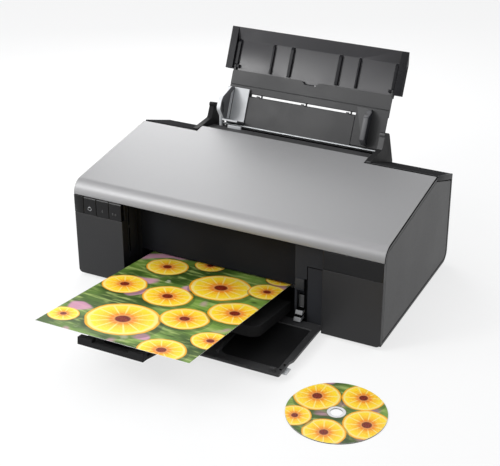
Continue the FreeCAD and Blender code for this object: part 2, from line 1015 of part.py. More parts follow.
def make_rear_deck():
    """Two sloping wings beside the feeder, joined by a bar under the lid's tongue."""
    end = d.body_depth - d.back_lean
    outline = [
        (behind(d.deck_front), deck_front_z - d.deck_wall),
        (behind(end), d.deck_back_z - d.deck_wall),
        (behind(end), d.deck_back_z),
        (behind(d.deck_front), deck_front_z),
    ]
    top = prism("deck_top", "along_x", outline, -half, half)
    notch = box(
        "deck_notch",
        (fin_left - d.fin_wall - gap, fin_right + d.fin_wall + gap),
        (behind(d.deck_front) - 1, behind(end) + 1),
        (d.deck_back_z - d.deck_wall - 1, deck_front_z + 1),
    )
    bar_back = behind(d.deck_front + d.deck_bar_depth)
    bar = box(
        "deck_bar", (-inner_x, inner_x), (behind(d.deck_front), bar_back), (d.deck_bar_z, d.deck_bar_z + d.deck_wall)
    )
    walls = [
        box(
            "deck_wall_%s" % side,
            limits,
            (behind(d.deck_front), behind(d.deck_front) + d.deck_wall),
            (d.deck_bar_z, deck_front_z - d.deck_wall / 2),
        )
        for side, limits in (
            ("left", (-inner_x, fin_left - d.fin_wall - gap)),
            ("right", (fin_right + d.fin_wall + gap, inner_x)),
        )
    ]
    axis_y = behind(d.lid_hinge_y)
    axis_z = lid_top(d.lid_hinge_y) - d.lid_hinge_drop
    ears = []
    bores = []
    for side in (-1, 1):
        inner = side * (d.lid_pin_x + d.lid_ear / 2 + gap)
        outer = side * (d.lid_pin_x + d.lid_ear / 2 + gap + d.panel_wall)
        low, high = (outer, inner) if side < 0 else (inner, outer)
        ears.append(
            box(
                "deck_arm_%d" % (side + 1),
                (low, high),
                (axis_y - d.lid_knuckle, behind(d.deck_front) + 1),
                (axis_z - d.deck_arm_drop, axis_z - gap),
            )
        )
        ears.append(
            box(
                "deck_ear_%d" % (side + 1),
                (low, high),
                (axis_y - d.lid_knuckle, axis_y + d.lid_pin + gap),
                (axis_z - 1, axis_z + d.lid_pin + 2 * gap),
            )
        )
        bores.append(
            rod("deck_bore_%d" % (side + 1), "x", d.lid_pin + loose, low - 1, high + 1, axis_y, axis_z)
        )
    joined = fuse("deck_joined", cut("deck_wings", top, notch), bar, *walls, *ears)
    return keep(cut("rear_deck", joined, *bores), "rear_deck")


# ----------------------------------------------------------------- rear feeder


def make_feeder_housing():
    """Two fins, the wall that leans behind the paper support and the plate behind the lid."""
    fin = [
        (behind(d.fin_front), d.fin_low_z),
        (behind(d.fin_low_y), d.fin_low_z),
        (behind(d.fin_foot_y), d.fin_foot_z),
        (back_face(d.fin_foot_z), d.fin_foot_z),
        (behind(d.fin_back_y), d.fin_base_z),
        (behind(d.fin_back_y), d.fin_back_z),
        (behind(d.fin_peak_y), d.fin_peak_z),
        (behind(d.fin_nose_y), d.fin_nose_z),
        (behind(d.fin_notch_y), d.fin_notch_z),
        (behind(d.fin_shoulder_y), d.fin_shoulder_z),
        (behind(d.fin_front), d.fin_front_z),
    ]
    rounds = {6: d.fin_peak_round, 7: d.fin_nose_round, 9: d.fin_shoulder_round}
    left = prism("fin_left", "along_x", fin, fin_left - d.fin_wall, fin_left, rounds)
    right = prism("fin_right", "along_x", fin, fin_right, fin_right + d.fin_wall, rounds)
    shaft_y, shaft_z = pickup_centre()
    shaft_bore = rod(
        "fin_shaft_bore",
        "x",
        d.pickup_shaft + loose,
        fin_left - d.fin_wall - 1,
        fin_right + d.fin_wall + 1,
        shaft_y,
        shaft_z,
    )
    lip = prism(
        "feeder_lip",
        "along_x",
        [
            (behind(d.chute_lip_y), d.chute_lip_z - d.feeder_wall),
            (behind(d.chute_lip_back_y), d.chute_lip_back_z - d.feeder_wall),
            (behind(d.chute_lip_back_y), d.chute_lip_back_z),
            (behind(d.chute_lip_y), d.chute_lip_z),
        ],
        fin_left,
        fin_right,
    )
    clear = d.support_wall + 3 * gap
    low_z = d.fin_foot_z
    high_z = d.fin_back_z
    slope = tangent(d.lean)

    def leaning_face(z, back):
        return behind(d.support_top_y) + (z - d.support_top_z) * slope + back / cosine(d.lean)

    skin = d.feeder_wall
    outer = [
        (leaning_face(low_z, clear), low_z),
        (back_face(low_z), low_z),
        (behind(d.fin_back_y), d.fin_base_z),
        (behind(d.fin_back_y), high_z),
        (leaning_face(high_z, clear), high_z),
    ]
    inner = [
        (leaning_face(low_z + skin, clear + skin), low_z + skin),
        (back_face(low_z) - skin / 2, low_z + skin),
        (behind(d.fin_back_y) - skin, d.fin_base_z + skin / 2),
        (behind(d.fin_back_y) - skin, high_z - skin),
        (leaning_face(high_z - skin, clear + skin), high_z - skin),
    ]
    wall = cut(
        "feeder_back",
        prism("feeder_back_outer", "along_x", outer, fin_left, fin_right),
        prism("feeder_back_inner", "along_x", inner, fin_left, fin_right),
    )
    fins = cut("fins_bored", fuse("fins", left, right), shaft_bore)
    return keep(fuse("feeder_housing", fins, lip, wall), "feeder_housing")


def make_paper_support():
    """The leaning panel with a finger notch, a groove, and a thin tongue that slides behind the hopper."""
    width = support_half
    notch = d.finger_notch_width / 2
    low = -d.support_panel
    outline = [
        (-width, low),
        (width, low),
        (width, 0),
        (notch, 0),
        (notch - d.finger_notch_depth, -d.finger_notch_depth),
        (-notch + d.finger_notch_depth, -d.finger_notch_depth),
        (-notch, 0),
        (-width, 0),
    ]
    corners = {2: d.support_corner, 7: d.support_corner}
    panel = prism("support_panel", "along_y", outline, 0, d.support_wall, corners)
    groove = box(
        "support_groove",
        (-width - 1, width + 1),
        (-1, d.groove_size),
        (-d.support_groove_at - d.groove_size, -d.support_groove_at),
    )
    tongue = box(
        "support_tongue",
        (-width + d.tongue_inset, width - d.tongue_inset),
        (d.support_wall - d.tongue_wall, d.support_wall),
        (-d.tongue_length, low + 1),
    )
    slits = []
    for number in range(4):
        slits.append(
            box(
                "support_slit_%d" % number,
                (slit_edges[number] - d.feeder_x + (d.slit_bridge if number else 0), slit_edges[number + 1] - d.feeder_x),
                (-1, d.support_wall + 1),
                (-d.slit_top - d.slit_height, -d.slit_top),
            )
        )
    step = box(
        "support_step",
        (-width - 1, width + 1),
        (d.support_lip, d.support_wall + 1),
        (-1, 1),
    )
    ears = []
    half_stem = d.cover_ear / 2
    for side in (-1, 1):
        limits = sorted((side * width, side * (width - d.cover_ear)), key=value_of)
        ears.append(
            box(
                "support_stem_%d" % (side + 1),
                limits,
                (d.cover_axis_back - half_stem, d.cover_axis_back + half_stem),
                (-d.support_groove_at / 2, d.cover_axis_up),
            )
        )
        ears.append(
            rod(
                "support_ear_%d" % (side + 1),
                "x",
                d.cover_ear_radius,
                limits[0],
                limits[1],
                d.cover_axis_back,
                d.cover_axis_up,
            )
        )
    bore = rod(
        "support_bore", "x", d.cover_pin + loose, -width - 1, width + 1, d.cover_axis_back, d.cover_axis_up
    )
    body = fuse("support_body", cut("support_front", panel, groove, step), tongue, *ears)
    return keep(leaning(cut("paper_support", body, bore, *slits), d.feeder_x), "paper_support")


def value_of(amount):
    return as_size(amount).value


def make_dust_cover():
    """A shallow smoked tray: ribbed panel, forward lip along the top and a wing down each side."""
    width = cover_half
    inner = d.cover_panel_width / 2
    floor = d.cover_setback
    skin = d.cover_wall
    crease = d.cover_panel_top - skin
    panel = box("cover_panel", (-inner, inner), (floor, floor + skin), (-d.cover_tuck, d.cover_panel_top))
    shoulders = box(
        "cover_shoulders", (-width, width), (floor, floor + skin), (d.cover_wing_bottom, d.cover_panel_top)
    )
    lip_outline = [
        (floor, crease),
        (floor + skin, crease),
        (floor + skin, d.cover_panel_top),
        (d.cover_wing_setback + skin, d.cover_lip_top),
        (d.cover_wing_setback, d.cover_lip_top),
        (floor, d.cover_panel_top - skin / 2),
    ]
    pieces = [panel, shoulders, prism("cover_lip", "along_x", lip_outline, -width, width)]
    wing_outline = [
        (d.cover_wing_setback, d.cover_wing_bottom),
        (d.cover_wing_setback + skin, d.cover_wing_bottom),
        (d.cover_wing_setback + skin, crease - skin),
        (floor + skin, crease),
        (floor + skin, d.cover_panel_top),
        (d.cover_wing_setback + skin, d.cover_lip_top),
        (d.cover_wing_setback, d.cover_lip_top),
    ]
    ear_inner = support_half - d.cover_ear
    for side in (-1, 1):
        wing = sorted((side * width, side * (width - d.cover_wing)), key=value_of)
        pieces.append(prism("cover_wing_%d" % (side + 1), "along_x", wing_outline, wing[0], wing[1]))
        knuckle = sorted((side * (ear_inner - gap - d.cover_knuckle), side * (ear_inner - gap)), key=value_of)
        pieces.append(
            box(
                "cover_knuckle_%d" % (side + 1),
                knuckle,
                (d.cover_axis_back - d.cover_ear_radius, floor + 1),
                (d.cover_axis_up - d.cover_ear_radius, d.cover_axis_up + d.cover_ear_radius),
            )
        )
        pin = sorted((side * (ear_inner - gap - 1), side * support_half), key=value_of)
        pieces.append(
            rod(
                "cover_pin_%d" % (side + 1),
                "x",
                d.cover_pin,
                pin[0],
                pin[1],
                d.cover_axis_back,
                d.cover_axis_up,
            )
        )
    high_rib = d.cover_axis_up + d.cover_ear_radius + 2 * gap
    edge_x = inner - d.cover_rib_thick / 2
    ribs = [
        (-edge_x, d.cover_rib_thick, high_rib),
        (-d.cover_rib_thin_x, d.cover_rib_thin, d.cover_rib_start),
        (-d.cover_rib_thick_x, d.cover_rib_thick, d.cover_rib_start),
        (d.cover_rib_thick_x, d.cover_rib_thick, d.cover_rib_start),
        (d.cover_rib_thin_x, d.cover_rib_thin, d.cover_rib_start),
        (edge_x, d.cover_rib_thick, high_rib),
    ]
    for number, (x, thickness, start) in enumerate(ribs):
        outline = [
            (floor + skin / 2, start),
            (floor + skin / 2, d.cover_panel_top),
            (floor - skin / 2, d.cover_panel_top),
            (floor - d.cover_rib_height, crease - skin),
            (floor - d.cover_rib_height, start),
        ]
        pieces.append(
            prism("cover_rib_%d" % number, "along_x", outline, x - thickness / 2, x + thickness / 2)
        )
    return keep(leaning(fuse("dust_cover", *pieces), d.feeder_x), "dust_cover")


def make_hopper():
    """The pressure plate under the paper, with three hooks along its top edge."""
    face = -d.hopper_wall - gap
    plate = box("hopper_plate", (hopper_left, hopper_right), (face, -gap), (-d.hopper_bottom, -d.hopper_top))
    hooks = [
        box(
            "hopper_hook_%d" % number,
            (x - d.hook_width, x),
            (face, -gap),
            (-d.hopper_top - 1, -d.hopper_top + d.hook_height),
        )
        for number, x in enumerate(slit_edges[1:4])
    ]
    return keep(leaning(fuse("hopper", plate, *hooks)), "hopper")


def guide_wall(name, root, reach, low_x, high_x, top):
    """The upright of an edge guide: an arch seen from the side."""
    outline = [
        (root, -d.guide_bottom),
        (root, -top - 1),
        (root - reach / 3, -top),
        (root - reach, -top - reach / 2),
        (root - reach, -d.guide_bottom + reach / 3),
        (root - reach / 2, -d.guide_bottom),
    ]
    return prism(name, "along_x", outline, low_x, high_x, {2: reach / 4, 3: reach / 3, 4: reach / 6})


def make_left_edge_guide():
    """The sliding guide: a plate that lies on the hopper, an arched upright and a foot."""
    back = -d.hopper_wall - 2 * gap
    face = back - d.hopper_wall
    plate = box(
        "left_guide_plate",
        (left_plate_left, left_plate_right),
        (face, back),
        (-d.plate_bottom, -d.left_plate_top),
    )
    high_x = left_plate_left + 1
    upright = guide_wall(
        "left_guide_upright", back, d.left_guide_reach, high_x - d.guide_rim, high_x, d.left_plate_top
    )
    foot = box(
        "left_guide_foot",
        (left_plate_left, left_plate_right),
        (-d.left_guide_foot_reach, back),
        (-d.guide_bottom - d.guide_foot / 2, -d.guide_bottom + d.guide_foot / 2),
    )
    hollow_outline = [
        (back - d.left_hollow_near, -d.guide_bottom + d.guide_foot),
        (back - d.left_hollow_near, -d.left_plate_top - d.left_hollow_down),
        (back - d.left_hollow_far, -d.left_plate_top - d.left_hollow_slope),
        (back - d.left_hollow_far, -d.guide_bottom + d.guide_foot),
    ]
    hollow = prism(
        "left_guide_hollow",
        "along_x",
        hollow_outline,
        high_x - d.guide_rim / 2,
        high_x + 1,
        {2: d.left_hollow_round},
    )
    return keep(
        leaning(fuse("left_edge_guide", cut("left_guide_shell", fuse("left_guide_parts", plate, upright), hollow), foot)),
        "left_edge_guide",
    )


def make_right_edge_guide():
    """The fixed guide: a plate beside the hopper and an arched upright."""
    face = -d.hopper_wall - gap
    plate = box(
        "right_guide_plate",
        (right_plate_left, right_plate_right),
        (face, -gap),
        (-d.plate_bottom, -d.plate_top),
    )
    upright = guide_wall(
        "right_guide_upright",
        -gap,
        d.right_guide_reach,
        right_guide_x,
        right_guide_x + d.guide_rim,
        d.plate_top + 1,
    )
    return keep(leaning(fuse("right_edge_guide", plate, upright)), "right_edge_guide")


def make_feeder_bar():
    """The thin bright bar across the foot of the hopper."""
    bar_y, bar_z = lean_place(d.bar_down, -d.bar_reach)
    bar = rod("feeder_bar", "x", d.bar_radius, fin_left + gap, fin_right - gap, bar_y, bar_z)
    return keep(bar, "feeder_bar")


def pickup_centre():
    clear = d.hopper_wall + gap + d.pickup_clear
    return lean_place(d.pickup_down, -(clear + d.pickup_radius))


def make_pickup():
    """The rubber roller that takes a sheet, and the shaft it is pressed on."""
    y, z = pickup_centre()
    tyre = rod("pickup_tyre", "x", d.pickup_radius, d.pickup_x, d.pickup_x + d.pickup_width, y, z)
    hole = rod("pickup_hole", "x", d.pickup_shaft + loose, d.pickup_x - 1, d.pickup_x + d.pickup_width + 1, y, z)
    keep(cut("pickup_roller", tyre, hole), "pickup_roller")
    reach = d.fin_wall + 4
    shaft = rod("pickup_rod", "x", d.pickup_shaft, fin_left - reach, fin_right + reach, y, z)
    collars = [
        rod("pickup_collar_%d" % number, "x", d.pickup_shaft + 1.5, x, x + 2, y, z)
        for number, x in enumerate((fin_left + gap, fin_right - gap - 2))
    ]
    keep(fuse("pickup_shaft", shaft, *collars), "pickup_shaft")


def make_paper_chute():
    """The sloping floor that leads a sheet from the hopper down to the feed roller, on two legs."""
    skin = d.chute_wall
    low_y = behind(d.chute_low_y)
    outline = [
        (low_y, d.chute_low_z),
        (behind(d.chute_shelf_front), d.chute_shelf_z),
        (behind(d.chute_shelf_back), d.chute_shelf_z),
        (behind(d.chute_shelf_back), d.chute_shelf_z + skin),
        (behind(d.chute_shelf_front) - 2, d.chute_shelf_z + skin),
        (low_y, d.chute_low_z + d.chute_lip_wall),
    ]
    width = d.chute_width / 2
    plate = prism("chute_plate", "along_x", outline, d.feeder_x - width, d.feeder_x + width)
    legs = []
    rise = (d.chute_shelf_z - d.chute_low_z) / (d.chute_shelf_front - d.chute_low_y)
    for side in (-1, 1):
        edge = d.feeder_x + side * width
        limits = (edge - 4, edge) if side < 0 else (edge, edge + 4)
        leg = [
            (behind(d.chute_leg_front), d.pan_floor + gap),
            (behind(d.chute_leg_back), d.pan_floor + gap),
            (behind(d.chute_leg_back), d.chute_shelf_z + 1),
            (behind(d.chute_leg_front), d.chute_low_z + (d.chute_leg_front - d.chute_low_y) * rise + 1),
        ]
        legs.append(prism("chute_leg_%d" % (side + 1), "along_x", leg, limits[0], limits[1]))
    keep(fuse("paper_chute", plate, *legs), "paper_chute")
    y, z = pickup_centre()
    middle = d.pickup_x + d.pickup_width / 2
    pad = box(
        "separation_pad",
        (middle - d.pad_width / 2, middle + d.pad_width / 2),
        (y - d.pad_depth / 2, y + d.pad_depth / 2),
        (d.chute_shelf_z + skin + gap, d.chute_shelf_z + skin + gap + d.pad_height),
    )
    keep(pad, "separation_pad")


# ------------------------------------------------------------------------ lid


def make_lid():
    """A bent shell that covers the body, with a tongue between the fins and two hinge knuckles."""
    skin = d.lid_wall
    face = behind(d.lid_front)
    end = behind(d.lid_tongue)
    inner_front = d.lid_front + skin
    outline = [
        (face, lid_low),
        (face, d.lid_corner_z),
        (end, lid_top(d.lid_tongue)),
        (end, lid_top(d.lid_tongue) - skin),
        (behind(inner_front), lid_top(inner_front) - skin),
        (behind(inner_front), lid_low),
    ]
    shell = prism(
        "lid_shell", "along_x", outline, -half, half, {1: d.lid_curve, 4: d.lid_curve - skin}
    )
    trims = [
        box(
            "lid_trim_%s" % side,
            limits,
            (behind(d.lid_depth), end + 1),
            (lid_low, lid_top(d.lid_tongue) + 1),
        )
        for side, limits in (
            ("left", (-half - 1, fin_left + 2 * gap)),
            ("right", (fin_right - 2 * gap, half + 1)),
        )
    ]
    axis_y = behind(d.lid_hinge_y)
    axis_z = lid_top(d.lid_hinge_y) - d.lid_hinge_drop
    knuckles = []
    bores = []
    for side in (-1, 1):
        low = side * d.lid_pin_x - d.lid_ear / 2
        high = side * d.lid_pin_x + d.lid_ear / 2
        rear_y = axis_y + d.lid_pin + gap
        under_front = lid_top(d.lid_hinge_y - d.lid_knuckle) - skin / 2
        under_rear = lid_top(d.lid_hinge_y + d.lid_pin + gap) - skin / 2
        knuckles.append(
            prism(
                "lid_knuckle_%d" % (side + 1),
                "along_x",
                [
                    (axis_y - d.lid_knuckle, axis_z - d.lid_knuckle),
                    (rear_y, axis_z - d.lid_knuckle),
                    (rear_y, under_rear),
                    (axis_y - d.lid_knuckle, under_front),
                ],
                low,
                high,
                {0: d.lid_knuckle / 2, 1: d.lid_pin},
            )
        )
        bores.append(rod("lid_bore_%d" % (side + 1), "x", d.lid_pin + loose, low - 1, high + 1, axis_y, axis_z))
    body = fuse("lid_body", cut("lid_trimmed", shell, *trims), *knuckles)
    return keep(cut("lid", body, *bores), "lid")


def make_hinge_pins():
    """Two pins for the lid, two for the front cover and two for the disc guide."""
    pins = []
    axis_y = behind(d.lid_hinge_y)
    axis_z = lid_top(d.lid_hinge_y) - d.lid_hinge_drop
    reach = d.lid_ear / 2
    for side in (-1, 1):
        ends = (side * (d.lid_pin_x - reach), side * (d.lid_pin_x + reach + d.panel_wall))
        ends = sorted(ends, key=value_of)
        pins.append((ends[0], ends[1], axis_y, axis_z, d.lid_pin))
    cover_y = behind(d.cover_hinge_y)
    length = d.return_wall + 2 * d.guide_pin_length
    start = opening_left - d.return_wall
    pins.append((start, start + length, cover_y, d.cover_hinge_z, d.cover_pin_radius))
    pins.append(
        (
            opening_right + d.return_wall - length,
            opening_right + d.return_wall,
            cover_y,
            d.cover_hinge_z,
            d.cover_pin_radius,
        )
    )
    y, z = guide_axis()
    pins.append((d.guide_left_x - d.frame_wall - gap, d.guide_left_x + d.guide_pin_length, y, z, d.guide_pin))
    pins.append((d.guide_right_x - d.guide_pin_length, d.guide_right_x + d.frame_wall + gap, y, z, d.guide_pin))
    solids = [
        rod("pin_%d" % number, "x", radius, low, high, y, z)
        for number, (low, high, y, z, radius) in enumerate(pins)
    ]
    return keep(group("hinge_pins", *solids), "hinge_pins")


def guide_axis():
    return behind(d.guide_front_y + d.guide_wall / 2), d.guide_bottom_z + d.guide_hinge_up


# ----------------------------------------------------------- front of the body


def make_front_cover():
    """The flap that lies open in front: a shallow pocket, a raised rail, a notch and a small clip."""
    low_x = opening_left + gap
    high_x = opening_right - gap
    rear = behind(d.cover_hinge_y)
    lip = front - d.cover_reach
    notch_y = front - d.cover_notch_y
    outline = [
        (low_x, rear),
        (low_x, lip),
        (high_x - d.cover_notch, lip),
        (high_x - d.cover_notch, notch_y - d.cover_notch_slope),
        (high_x, notch_y),
        (high_x, rear),
    ]
    top = d.cover_lift + d.cover_plate
    plate = prism(
        "flap_plate", "along_z", outline, d.cover_lift, top, {1: d.cover_corner, 2: d.cover_corner / 2}
    )
    pocket_outline = [
        (d.pocket_left, front - d.pocket_rear),
        (d.pocket_left, front - d.pocket_front),
        (d.pocket_right - d.cover_notch, front - d.pocket_front),
        (d.pocket_right - d.cover_notch, front - d.pocket_rear),
    ]
    pocket = prism(
        "flap_pocket", "along_z", pocket_outline, top - d.pocket_depth, top + 1, {1: d.pocket_corner}
    )
    barrel = rod("flap_barrel", "x", d.cover_barrel, low_x, high_x, rear, d.cover_hinge_z)
    bore = rod("flap_bore", "x", d.cover_pin_radius + loose, low_x - 1, high_x + 1, rear, d.cover_hinge_z)
    rail = box(
        "flap_rail",
        (d.pocket_left - d.rail_width, d.pocket_left),
        (front - d.pocket_front, front - d.pocket_rear),
        (top - 1, top + d.rail_height),
    )
    clip_x = high_x - d.cover_notch - 2 * d.clip_size
    clip = box(
        "flap_clip",
        (clip_x, clip_x + d.clip_size),
        (lip + d.clip_size / 2, lip + d.clip_size),
        (top - 1, top + d.clip_height),
    )
    body = fuse("flap_body", cut("flap_hollowed", plate, pocket), barrel, rail, clip)
    hole_x = high_x - d.flap_hole_in
    holes = [
        rod(f"flap_hole_{place}", "z", d.flap_hole_radius, d.cover_lift - 1, top + 1, hole_x, front - ahead)
        for place, ahead in (("near", d.flap_hole_near), ("far", d.flap_hole_far))
    ]
    return keep(cut("front_cover", body, bore, *holes), "front_cover")


def make_exit_frame():
    """The fixed frame round the disc guide, with the panel and slot beside it."""
    skin = d.frame_wall
    left = opening_left + gap
    right = opening_right - gap
    post = d.guide_left_x - gap
    side = d.guide_right_x + gap
    back = behind(d.frame_back_y)
    start = behind(d.frame_front)
    outline = [
        (left, behind(d.guide_front_y)),
        (post, behind(d.guide_front_y)),
        (post, back),
        (side, back),
        (side, start),
        (right, start),
        (right, start + skin),
        (side + skin, start + skin),
        (side + skin, back + skin),
        (left, back + skin),
    ]
    frame = prism("frame_walls", "along_z", outline, d.pan_floor + gap, d.frame_top)
    window = box(
        "frame_window", (post, side), (back - 1, back + skin + 1), (d.pan_floor, d.frame_window_top)
    )
    slot = box(
        "frame_slot", (d.slot_left, d.slot_right), (start - 1, start + skin + 1), (d.pan_floor, d.slot_top)
    )
    tray_clear = d.tray_z + d.tray_height + d.frame_wall
    under_side = box(
        "frame_tray_side",
        (side - 1, side + skin + 1),
        (start + skin, back + skin + 1),
        (d.pan_floor, tray_clear),
    )
    y, z = guide_axis()
    bores = rod("frame_bore", "x", d.guide_pin + loose, left - 1, side + skin + 1, y, z)
    backing = box(
        "frame_backing",
        (side + skin - gap, d.slot_right + skin),
        (behind(d.lever_y + d.lever_wall) + 2 * gap, behind(d.lever_y + d.lever_wall) + 2 * gap + skin),
        (d.pan_floor + gap, d.slot_top + 2 * skin),
    )
    ledge = box(
        "frame_ledge",
        (side + skin - 1, d.slot_right + skin),
        (start + 1, behind(d.lever_y + d.lever_wall) + gap * 2 + 1),
        (d.slot_top + gap, d.slot_top + skin),
    )
    joined = fuse("frame_joined", cut("frame_open", frame, window, slot, under_side), backing, ledge)
    return keep(cut("exit_frame", joined, bores), "exit_frame")


def make_disc_guide():
    """The dark panel that fills the opening and folds down to guide the disc tray."""
    face = behind(d.guide_front_y)
    back = face + d.guide_wall
    panel = box(
        "guide_panel", (d.guide_left_x, d.guide_right_x), (face, back), (d.guide_bottom_z, d.guide_top_z)
    )
    rim = 3 * d.guide_rib
    hollow = box(
        "guide_hollow",
        (d.guide_left_x + rim + d.guide_pin_length, d.guide_right_x - rim - d.guide_pin_length),
        (back - d.guide_wall + d.frame_wall, back + 1),
        (d.guide_bottom_z + 2 * d.guide_hinge_up, d.guide_top_z - rim),
    )
    y, z = guide_axis()
    bore = rod("guide_bore", "x", d.guide_pin + loose, d.guide_left_x - 1, d.guide_right_x + 1, y, z)
    return keep(cut("disc_guide", panel, hollow, bore), "disc_guide")


def make_lever():
    """The light grey lever in the slot: a stem with two stepped finger tabs."""
    rear = behind(d.lever_y + d.lever_wall)
    stem = box(
        "lever_stem", (d.lever_left, d.lever_right), (behind(d.lever_y), rear), (d.lever_low, d.lever_top)
    )
    tabs = []
    low = d.lever_low
    for number in (0, 1):
        start = low + number * (d.lever_tab + d.lever_tab_gap)
        reach = d.lever_tab_reach - number * d.lever_tab
        outline = [
            (behind(d.lever_y) + 1, start),
            (behind(d.lever_y) + 1, start + d.lever_tab),
            (behind(d.lever_y) - reach + d.lever_wall, start + d.lever_tab),
            (behind(d.lever_y) - reach, start),
        ]
        tabs.append(prism("lever_tab_%d" % number, "along_x", outline, d.lever_left, d.lever_right))
    return keep(fuse("position_lever", stem, *tabs), "position_lever")


def make_stacker():
    """The paper tray: a shallow hollow slab that slopes up to the front."""
    outline = [
        (d.tray_left, 0),
        (d.tray_left, -d.tray_length),
        (d.tray_right, -d.tray_length),
        (d.tray_right, 0),
    ]
    slab = prism(
        "tray_slab", "along_z", outline, 0, d.tray_height, {1: d.tray_corner, 2: d.tray_corner}
    )
    arm = d.arm_width / 2 + gap
    channel = box(
        "tray_channel",
        (d.arm_x - arm, d.arm_x + arm),
        (-d.tray_length - 1, -d.tray_wall),
        (d.arm_height - gap, d.arm_height + d.arm_wall + gap),
    )
    return keep(on_tray(cut("stacker", slab, channel)), "stacker")


def make_stacker_extension():
    """The arm that slides out of the stacker, with a raised end and a rest for the paper."""
    low = d.arm_height
    high = low + d.arm_wall
    arm = [
        (-d.arm_back, low),
        (-d.arm_back, high),
        (-d.arm_bend, high),
        (-d.arm_end + d.arm_lip, high + d.arm_rise),
        (-d.arm_end + d.arm_lip, d.arm_bar_top),
        (-d.arm_end, d.arm_bar_top),
        (-d.arm_end, low + d.arm_rise),
        (-d.arm_end + d.arm_lip, low + d.arm_rise),
        (-d.arm_bend, low),
    ]
    left = d.arm_x - d.arm_width / 2
    right = d.arm_x + d.arm_width / 2
    plate = prism("arm_plate", "along_x", arm, left, right)
    tabs = [
        box(
            "arm_tab_%d" % number,
            limits,
            (-d.arm_end, -d.arm_end + d.arm_lip),
            (low + d.arm_rise, d.arm_tab_top),
        )
        for number, limits in enumerate(((left, left + d.arm_tab), (right - d.arm_tab, right)))
    ]
    rest = box(
        "arm_rest",
        (d.arm_x - d.arm_tab, d.arm_x + d.arm_tab),
        (-d.arm_rest_y - d.arm_wall, -d.arm_rest_y),
        (low + d.arm_rise / 2, d.sheet_height - gap),
    )
    return keep(on_tray(fuse("stacker_extension", plate, *tabs, rest)), "stacker_extension")


def make_sheet():
    """The printed sheet as it leaves the printer."""
    width = d.sheet_width / 2
    start = -d.sheet_front
    outline = [(-width, start), (width, start), (width, start + d.sheet_length), (-width, start + d.sheet_length)]
    body = prism("sheet_body", "along_z", outline, 0, d.sheet_wall)
    lift_y = behind(d.tray_y) + d.sheet_height * sine(d.tray_slope)
    lift_z = d.tray_z + d.sheet_height * cosine(d.tray_slope)
    return keep(tilt(body, d.tray_slope, lift_y, lift_z, d.sheet_x), "printed_sheet")


def make_disc():
    """A standard disc lying on the table in front of the printer."""
    y = front - d.disc_y
    low = -d.foot_height
    ring_low = low + d.disc_wall
    plate = rod("disc_plate", "z", d.disc_diameter / 2, low + d.disc_ring_height, ring_low, d.disc_x, y)
    ring = rod("disc_ring", "z", d.disc_ring, low, low + d.disc_ring_height + gap, d.disc_x, y)
    rim = rod("disc_rim", "z", d.disc_diameter / 2, low, low + d.disc_ring_height + gap, d.disc_x, y)
    inside = rod("disc_inside", "z", d.disc_diameter / 2 - 1.5, low - 1, ring_low + 1, d.disc_x, y)
    bore = rod("disc_bore", "z", d.disc_bore / 2, low - 1, ring_low + 1, d.disc_x, y)
    edge = cut("disc_edge", rim, inside)
    return keep(cut("disc", fuse("disc_body", plate, ring, edge), bore), "disc")


# -------------------------------------------------------- chassis and carriage


def make_chassis():
    """A bent steel frame: rear plate, two end plates and a shelf at each end for the belt."""
    wall = d.chassis_wall
    reach = d.chassis_x + wall
    plate_y = behind(d.chassis_plate_y)
    plate = box("chassis_plate", (-reach, reach), (plate_y, plate_y + wall), (d.chassis_plate_z, d.chassis_top))
    window_half = d.chute_width / 2 + d.return_wall
    window = box(
        "chassis_window",
        (d.feeder_x - window_half, d.feeder_x + window_half),
        (plate_y - 1, plate_y + wall + 1),
        (d.chassis_plate_z - 1, d.chassis_window_top),
    )
    pieces = [cut("chassis_back", plate, window)]
    shelf_front = behind(d.encoder_y) + 1
    for side in (-1, 1):
        ends = sorted((side * d.chassis_x, side * reach), key=value_of)
        pieces.append(
            box(
                "chassis_end_%d" % (side + 1),
                ends,
                (behind(d.chassis_front), behind(d.chassis_back)),
                (d.pan_floor + gap, d.chassis_top),
            )
        )
        shelf = sorted((side * d.chassis_x, side * (d.chassis_x - d.shelf_length)), key=value_of)
        pieces.append(
            box("chassis_shelf_%d" % (side + 1), shelf, (shelf_front, plate_y + 1), (d.shelf_z, d.shelf_z + wall))
        )
    bores = []
    for name, radius, y, z in (
        ("carriage", d.rod_radius, d.rod_y, d.rod_z),
        ("feed", d.shaft_radius, d.feed_y, d.roller_z),
        ("eject", d.shaft_radius, eject_y(), d.roller_z),
        ("pinch", d.pinch_shaft, d.feed_y, pinch_z()),
        ("pinion", d.pinch_shaft, pinion_y(), d.roller_z),
    ):
        bores.append(rod("chassis_bore_%s" % name, "x", radius + loose, -reach - 1, reach + 1, behind(y), z))
    pulley_y = behind(d.pulley_y)
    bores.append(
        rod("chassis_motor_hole", "z", d.pulley_pin + gap, d.shelf_z - 1, d.shelf_z + wall + 1, -d.pulley_x, pulley_y)
    )
    body = cut("chassis_bored", fuse("chassis_body", *pieces), *bores)
    stub = rod(
        "chassis_stub",
        "x",
        d.shaft_radius,
        d.gear_x - d.gear_width / 2,
        -d.chassis_x,
        behind(idler_y()),
        d.roller_z,
    )
    pin = rod("chassis_pin", "z", d.pulley_pin, d.shelf_z, pulley_high(), d.pulley_x, pulley_y)
    return keep(fuse("chassis", body, stub, pin), "chassis")


def eject_y():
    return d.feed_y - (d.feed_teeth + d.idler_teeth) * d.gear_module


def idler_y():
    return d.feed_y - (d.feed_teeth + d.idler_teeth) * d.gear_module / 2


def pinion_y():
    return d.feed_y + (d.feed_teeth + d.pinion_teeth) * d.gear_module / 2


def pinch_z():
    return d.roller_z + d.feed_radius + d.sheet_wall + d.pinch_radius


def pulley_low():
    return d.shelf_z + d.chassis_wall + gap


def pulley_high():
    return pulley_low() + d.pulley_width + 2 * d.pulley_flange


